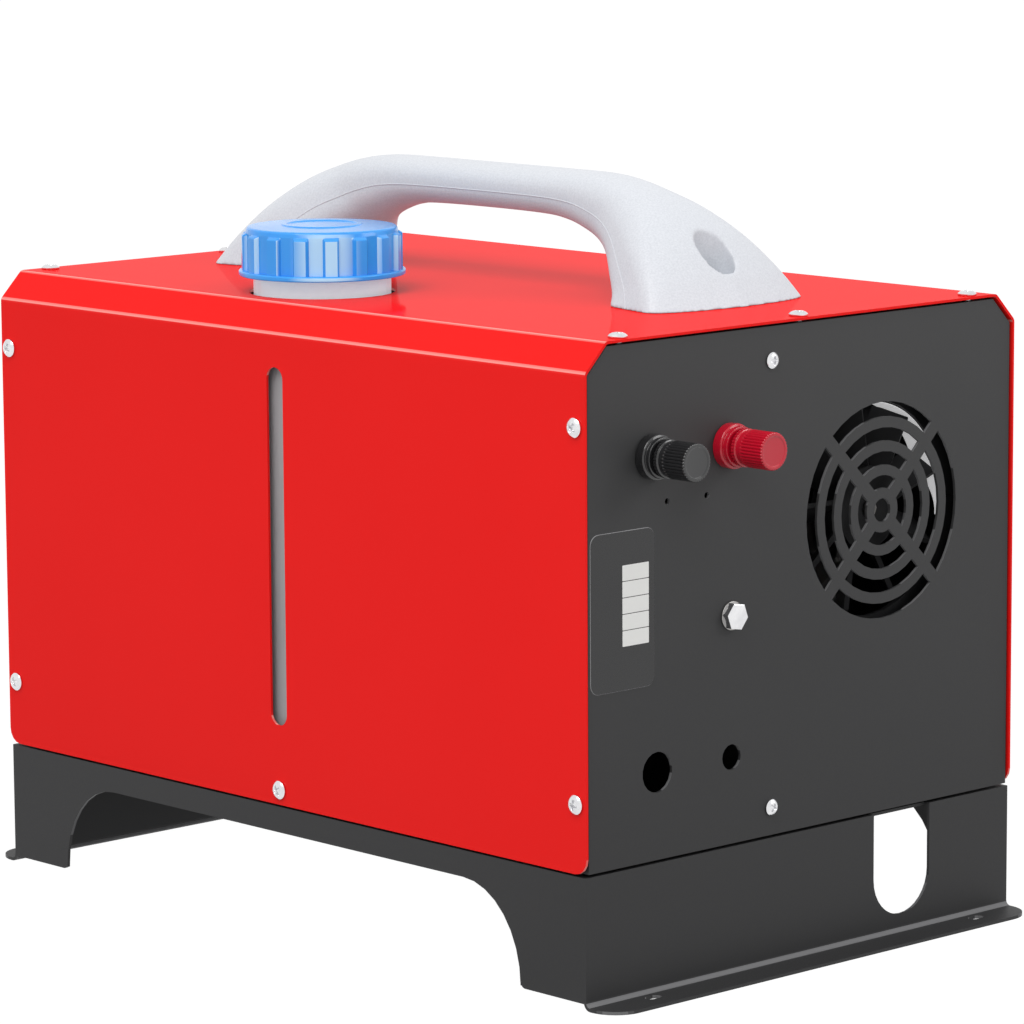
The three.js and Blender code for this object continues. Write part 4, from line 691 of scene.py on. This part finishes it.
def screwMesh(s):
    # A pan head from a grid of rings whose height falls along two crossed grooves; h is the height over
    # the seat and the shank goes below it.
    inner, outer = np.linspace(0, s["cross"] + 0.6, 18), np.linspace(s["cross"] + 0.8, s["head"], 9)
    ring = np.concatenate([inner, outer])[:, None]
    angle = np.linspace(0, 2 * math.pi, 96, endpoint=False)[None, :]
    across, up = ring * np.cos(angle), ring * np.sin(angle)
    share = ring / s["head"]
    height = s["height"] * (1 - 0.62 * share ** 3.2) * np.ones_like(angle)
    arm = lambda u, v: (1 - smoothStep(np.abs(u), s["crossWidth"] - 0.15, s["crossWidth"] + 0.15)) * (
        1 - smoothStep(np.abs(v), s["cross"] - 0.7, s["cross"]))
    groove = np.maximum(arm(across, up), arm(up, across))
    top = np.stack([across, up, height - groove * s["crossDepth"]], -1)
    under = rounded([(s["head"], s["height"] * 0.38), (s["head"] + 0.02, 0.02, 0.3), (s["shank"], 0.02),
                     (s["shank"], -s["length"] + 2), (0.3, -s["length"]), (0, -s["length"])], 3)
    turn = np.stack([under[:, :1] * np.cos(angle), under[:, :1] * np.sin(angle),
                     under[:, 1:2] * np.ones_like(angle)], -1)
    return np.concatenate([top, turn])


facing = {   # how a screw drawn upwards along +z is turned to look out of each face
    "top": ((1, 0, 0), (0, 1, 0), (0, 0, 1)),
    "right": ((0, 1, 0), (0, 0, 1), (1, 0, 0)),
    "left": ((0, -1, 0), (0, 0, 1), (-1, 0, 0)),
    "rear": ((-1, 0, 0), (0, 0, 1), (0, 1, 0)),
    "front": ((1, 0, 0), (0, 0, 1), (0, -1, 0)),
}


def makeScrew(name, place, side, turn, replaced=None, size=1.0, length=None):
    s = dict(screw)
    if length:
        s["length"] = length
    points = screwMesh(s) * size
    c, d = math.cos(math.radians(turn)), math.sin(math.radians(turn))
    flat = np.stack([points[..., 0] * c - points[..., 1] * d, points[..., 0] * d + points[..., 1] * c,
                     points[..., 2]], -1)
    piece = gridObject(name, flat @ np.array(facing[side], float) + np.array(place), "nickel", "case")
    if replaced:
        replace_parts(piece, replaced)


screwRows = {
    "coverHalf": 141.5, "coverTop": 300, "panelFace": 209,   # the faces that the heads seat on
    "row": 203.5,                                            # both ways from the middle, along y
    "levels": {"upper": 262.5, "lower": 93.5}, "skirt": 69,
    "top": {"left": -115, "middle": 0, "right": 115},
    "panelX": 23, "panelLevels": {"upper": 282, "lower": 75}, "panelSize": 0.86,
    "handleSeat": 0.3, "handleLength": 18,
    "seed": 7,                                               # of the turns that the crosses stopped at
}


def makeScrews(w, h):
    turns = iter(np.random.default_rng(w["seed"]).uniform(0, 90, 60))
    ends = (("rear", 1), ("front", -1))
    for side, x in (("right", w["coverHalf"]), ("left", -w["coverHalf"])):
        for end, way in ends:
            for level, z in w["levels"].items():
                makeScrew(f"{side}_{end}_{level}_screw", (x, way * w["row"], z), side, next(turns),
                          f"cover_screw_{side}_{end}_{level}")
        makeScrew(f"{side}_skirt_screw", (x, 0, w["skirt"]), side, next(turns))
    for end, way in ends:
        for label, x in w["top"].items():
            makeScrew(f"top_{end}_{label}_screw", (x, way * w["row"], w["coverTop"]), "top", next(turns))
    for level, z in w["panelLevels"].items():
        makeScrew(f"rear_panel_{level}_screw", (w["panelX"], w["panelFace"], z), "rear", next(turns),
                  f"panel_screw_{level}", w["panelSize"])
        makeScrew(f"front_panel_{level}_screw", (w["panelX"], -w["panelFace"], z), "front", next(turns),
                  None, w["panelSize"])
    seat = h["recessFloor"] + w["handleSeat"]
    for end, way in reversed(ends):
        makeScrew(f"handle_{end}_screw", (h["x"], h["y"] + way * h["screwY"], seat), "top", next(turns),
                  f"handle_screw_{end}", 1.0, w["handleLength"])


makeScrews(screwRows, handle)
panelFace = screwRows["panelFace"]
print("screws made")

# terminals

post = {
    "z": 246, "face": panelFace,
    "base": 10.4, "neck": 5.4, "bore": 2.8, "baseLength": 9.3,
    "capRadius": 8.7, "capBore": 4.7, "capStart": 218.9, "capEnd": 237.9, "capTop": 2,
    "flutes": 36, "fluteDepth": 0.5,
}


def makePost(p, x, colour, look):
    face = p["face"]
    base = rounded([(p["bore"], face + 0.05), (p["base"], face + 0.05, 0.6), (p["base"], face + 5.2, 0.9),
                    (p["base"] - 1.3, face + 5.5, 0.2), (p["base"] - 1.3, face + 6.2, 0.2),
                    (p["base"] - 0.9, face + 6.4, 0.4), (p["base"] - 1.1, face + 8, 0.3),
                    (p["base"] - 2, face + 8.2, 0.2), (p["neck"], face + 8.3),
                    (p["neck"], face + p["baseLength"]), (p["bore"], face + p["baseLength"]),
                    (p["bore"], face + 0.05)], 5)
    piece = turnedObject(f"terminal_base_{colour}", base, (x, 0, p["z"]), "y", look, "case", 128)
    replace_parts(piece, f"post_base_{colour}")

    def flutes(angle, radius, height):
        along = smoothStep(height, p["capStart"] + 5.4, p["capStart"] + 6.4)
        teeth = smoothStep(height, p["capStart"] - 0.2, p["capStart"] + 0.1) * (
            1 - smoothStep(height, p["capStart"] + 1.6, p["capStart"] + 2.2))
        ripple = np.abs(np.sin(angle * p["flutes"] / 2)) ** 0.7 - 1
        return ripple * p["fluteDepth"] * np.maximum(along, teeth) * (radius > p["capRadius"] - 1.2)

    start, end, r = p["capStart"], p["capEnd"], p["capRadius"]
    profile = np.vstack([
        rounded([(0, end - p["capTop"]), (p["capBore"], end - p["capTop"]), (p["capBore"], start),
                 (r + 0.1, start, 0.3), (r + 0.1, start + 2.2, 0.3), (r - 0.6, start + 2.5, 0.2),
                 (r - 0.6, start + 4.9, 0.3), (r, start + 5.4)], 4),
        np.stack([np.full(30, r), np.linspace(start + 5.6, end - 0.8, 30)], -1),
        rounded([(r, end - 0.7), (r - 0.3, end - 0.1, 0.3), (r - 1.6, end - 0.1, 0.2),
                 (r - 2, end - 0.5, 0.3), (0, end - 0.5)], 5),
    ])
    piece = turnedObject(f"terminal_cap_{colour}", profile, (x, 0, p["z"]), "y", look, f"terminal_{colour}",
                         288, flutes)
    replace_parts(piece, f"post_cap_{colour}")


makePost(post, 99.8, "black", "gloss_black")
makePost(post, 51, "red", "red_plastic")
print("terminals made")

# label, bolt and guide strip

def roundedOutline(width, height, radius, steps=6):
    corners = []
    for qx, qz, start in ((1, 1, 0), (-1, 1, 90), (-1, -1, 180), (1, -1, 270)):
        t = np.radians(start + np.linspace(0, 90, steps + 1))
        corners.append(np.stack([qx * (width / 2 - radius) + radius * np.cos(t),
                                 qz * (height / 2 - radius) + radius * np.sin(t)], -1))
    return np.vstack(corners)


def plateObject(name, x, z, width, height, radius, low, high, look, edge):
    # A flat plate on the rear panel from y = low to y = high, its front edge a little rounded.
    rings = []
    for inset, y in ((0, low), (0, high - edge), (edge, high)):
        outline = roundedOutline(width - 2 * inset, height - 2 * inset, max(radius - inset, 0.05))
        rings.append(np.stack([x + outline[:, 0], np.full(len(outline), y), z + outline[:, 1]], -1))
    centre = np.array([x, 0, z])
    first = rings[0] * 0 + centre + np.array([0, low, 0])
    last = rings[0] * 0 + centre + np.array([0, high, 0])
    gridObject(name, np.stack([first, *rings, last]), look, "case")


label = {
    "x": 118, "z": 178.5, "width": 40, "height": 72, "radius": 5, "thickness": 0.3, "edge": 0.22,
    "cells": 5, "cellWidth": 16.4, "cellX": 110, "cellTop": 199.2, "cellHeight": 7.4, "gap": 0.35,
}


def makeLabel(b):
    face = panelFace
    plateObject("label_plate", b["x"], b["z"], b["width"], b["height"], b["radius"], face,
                face + b["thickness"], "label_film", b["edge"])
    for k in range(b["cells"]):
        z = b["cellTop"] - (k + 0.5) * b["cellHeight"]
        plateObject(f"label_cell_{k + 1}", b["cellX"], z, b["cellWidth"], b["cellHeight"] - b["gap"], 0.3,
                    face + b["thickness"] - 0.05, face + b["thickness"] + 0.06, "label_field", 0.02)


makeLabel(label)

bolt = {
    "x": 49, "z": 167.8, "across": 11.5, "height": 4.6, "turn": 9.375,
    "washer": 6.7, "washerThickness": 0.9, "shank": 3, "length": 18,
}


def makeBolt(b):
    # Each ring of the head is drawn in from its corners to a hexagon.
    corner = b["across"] / 2 / math.cos(math.pi / 6)

    def hexagon(angle, radius, height):
        phase = (angle - math.radians(b["turn"])) % (math.pi / 3) - math.pi / 6
        return radius * (math.cos(math.pi / 6) / np.cos(phase) - 1)

    face = panelFace
    low = face + b["washerThickness"]
    high = face + b["height"]
    place = (b["x"], 0, b["z"])
    profile = rounded([(0, low), (corner, low), (corner, high - 0.4), (corner - 0.7, high),
                       (corner - 1.2, high + 0.02), (0, high + 0.02)], 4)
    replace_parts(turnedObject("bolt_head", profile, place, "y", "nickel", "case", 192, hexagon), "mount_bolt")
    washer = [(b["shank"], face + 0.02), (b["washer"], face + 0.02, 0.2), (b["washer"], low, 0.3),
              (b["shank"], low)]
    turnedObject("bolt_washer", rounded(washer, 3), place, "y", "steel", "case", 64)
    foot = face - b["length"]
    turnedObject("bolt_shank", [(0, foot + 2), (b["shank"] - 0.5, foot + 2), (b["shank"] - 0.05, foot + 3),
        (b["shank"] - 0.05, low + 0.5), (0, low + 0.5)], place, "y", "nickel", "case", 32)


makeBolt(bolt)

# the bright guide strip in the blower's mouth, seen through the grille: a sheet bent to an arc, whose
# width falls from its upper to its lower end
# the strip's pale_metal has a painted glow that makes it bright
guideStrip = {
    "x": -51, "z": 205, "radius": 49.4, "thickness": 0.5, "rear": 199.6, "width": 15,
    "fromAngle": 96, "toAngle": 190, "narrowsFrom": 0.6, "narrowsBy": 0.86,
}


def makeGuideStrip(g):
    share = np.linspace(0, 1, 90)[:, None]
    angle = np.radians(g["fromAngle"] + share * (g["toAngle"] - g["fromAngle"]))
    width = g["width"] * (1 - smoothStep(share, g["narrowsFrom"], 1) * g["narrowsBy"])
    corners = ((0, 0), (1, 0), (1, 1), (0, 1))   # across the thickness, along the width
    rings = []
    for thick, along in corners:
        radius = g["radius"] + thick * g["thickness"]
        rings.append(np.concatenate([g["x"] + radius * np.cos(angle), g["rear"] - along * width,
                                     g["z"] + radius * np.sin(angle)], -1))
    gridObject("guide_strip", np.stack(rings, 1), "pale_metal", "case")


makeGuideStrip(guideStrip)
print("label, bolt and guide strip made")
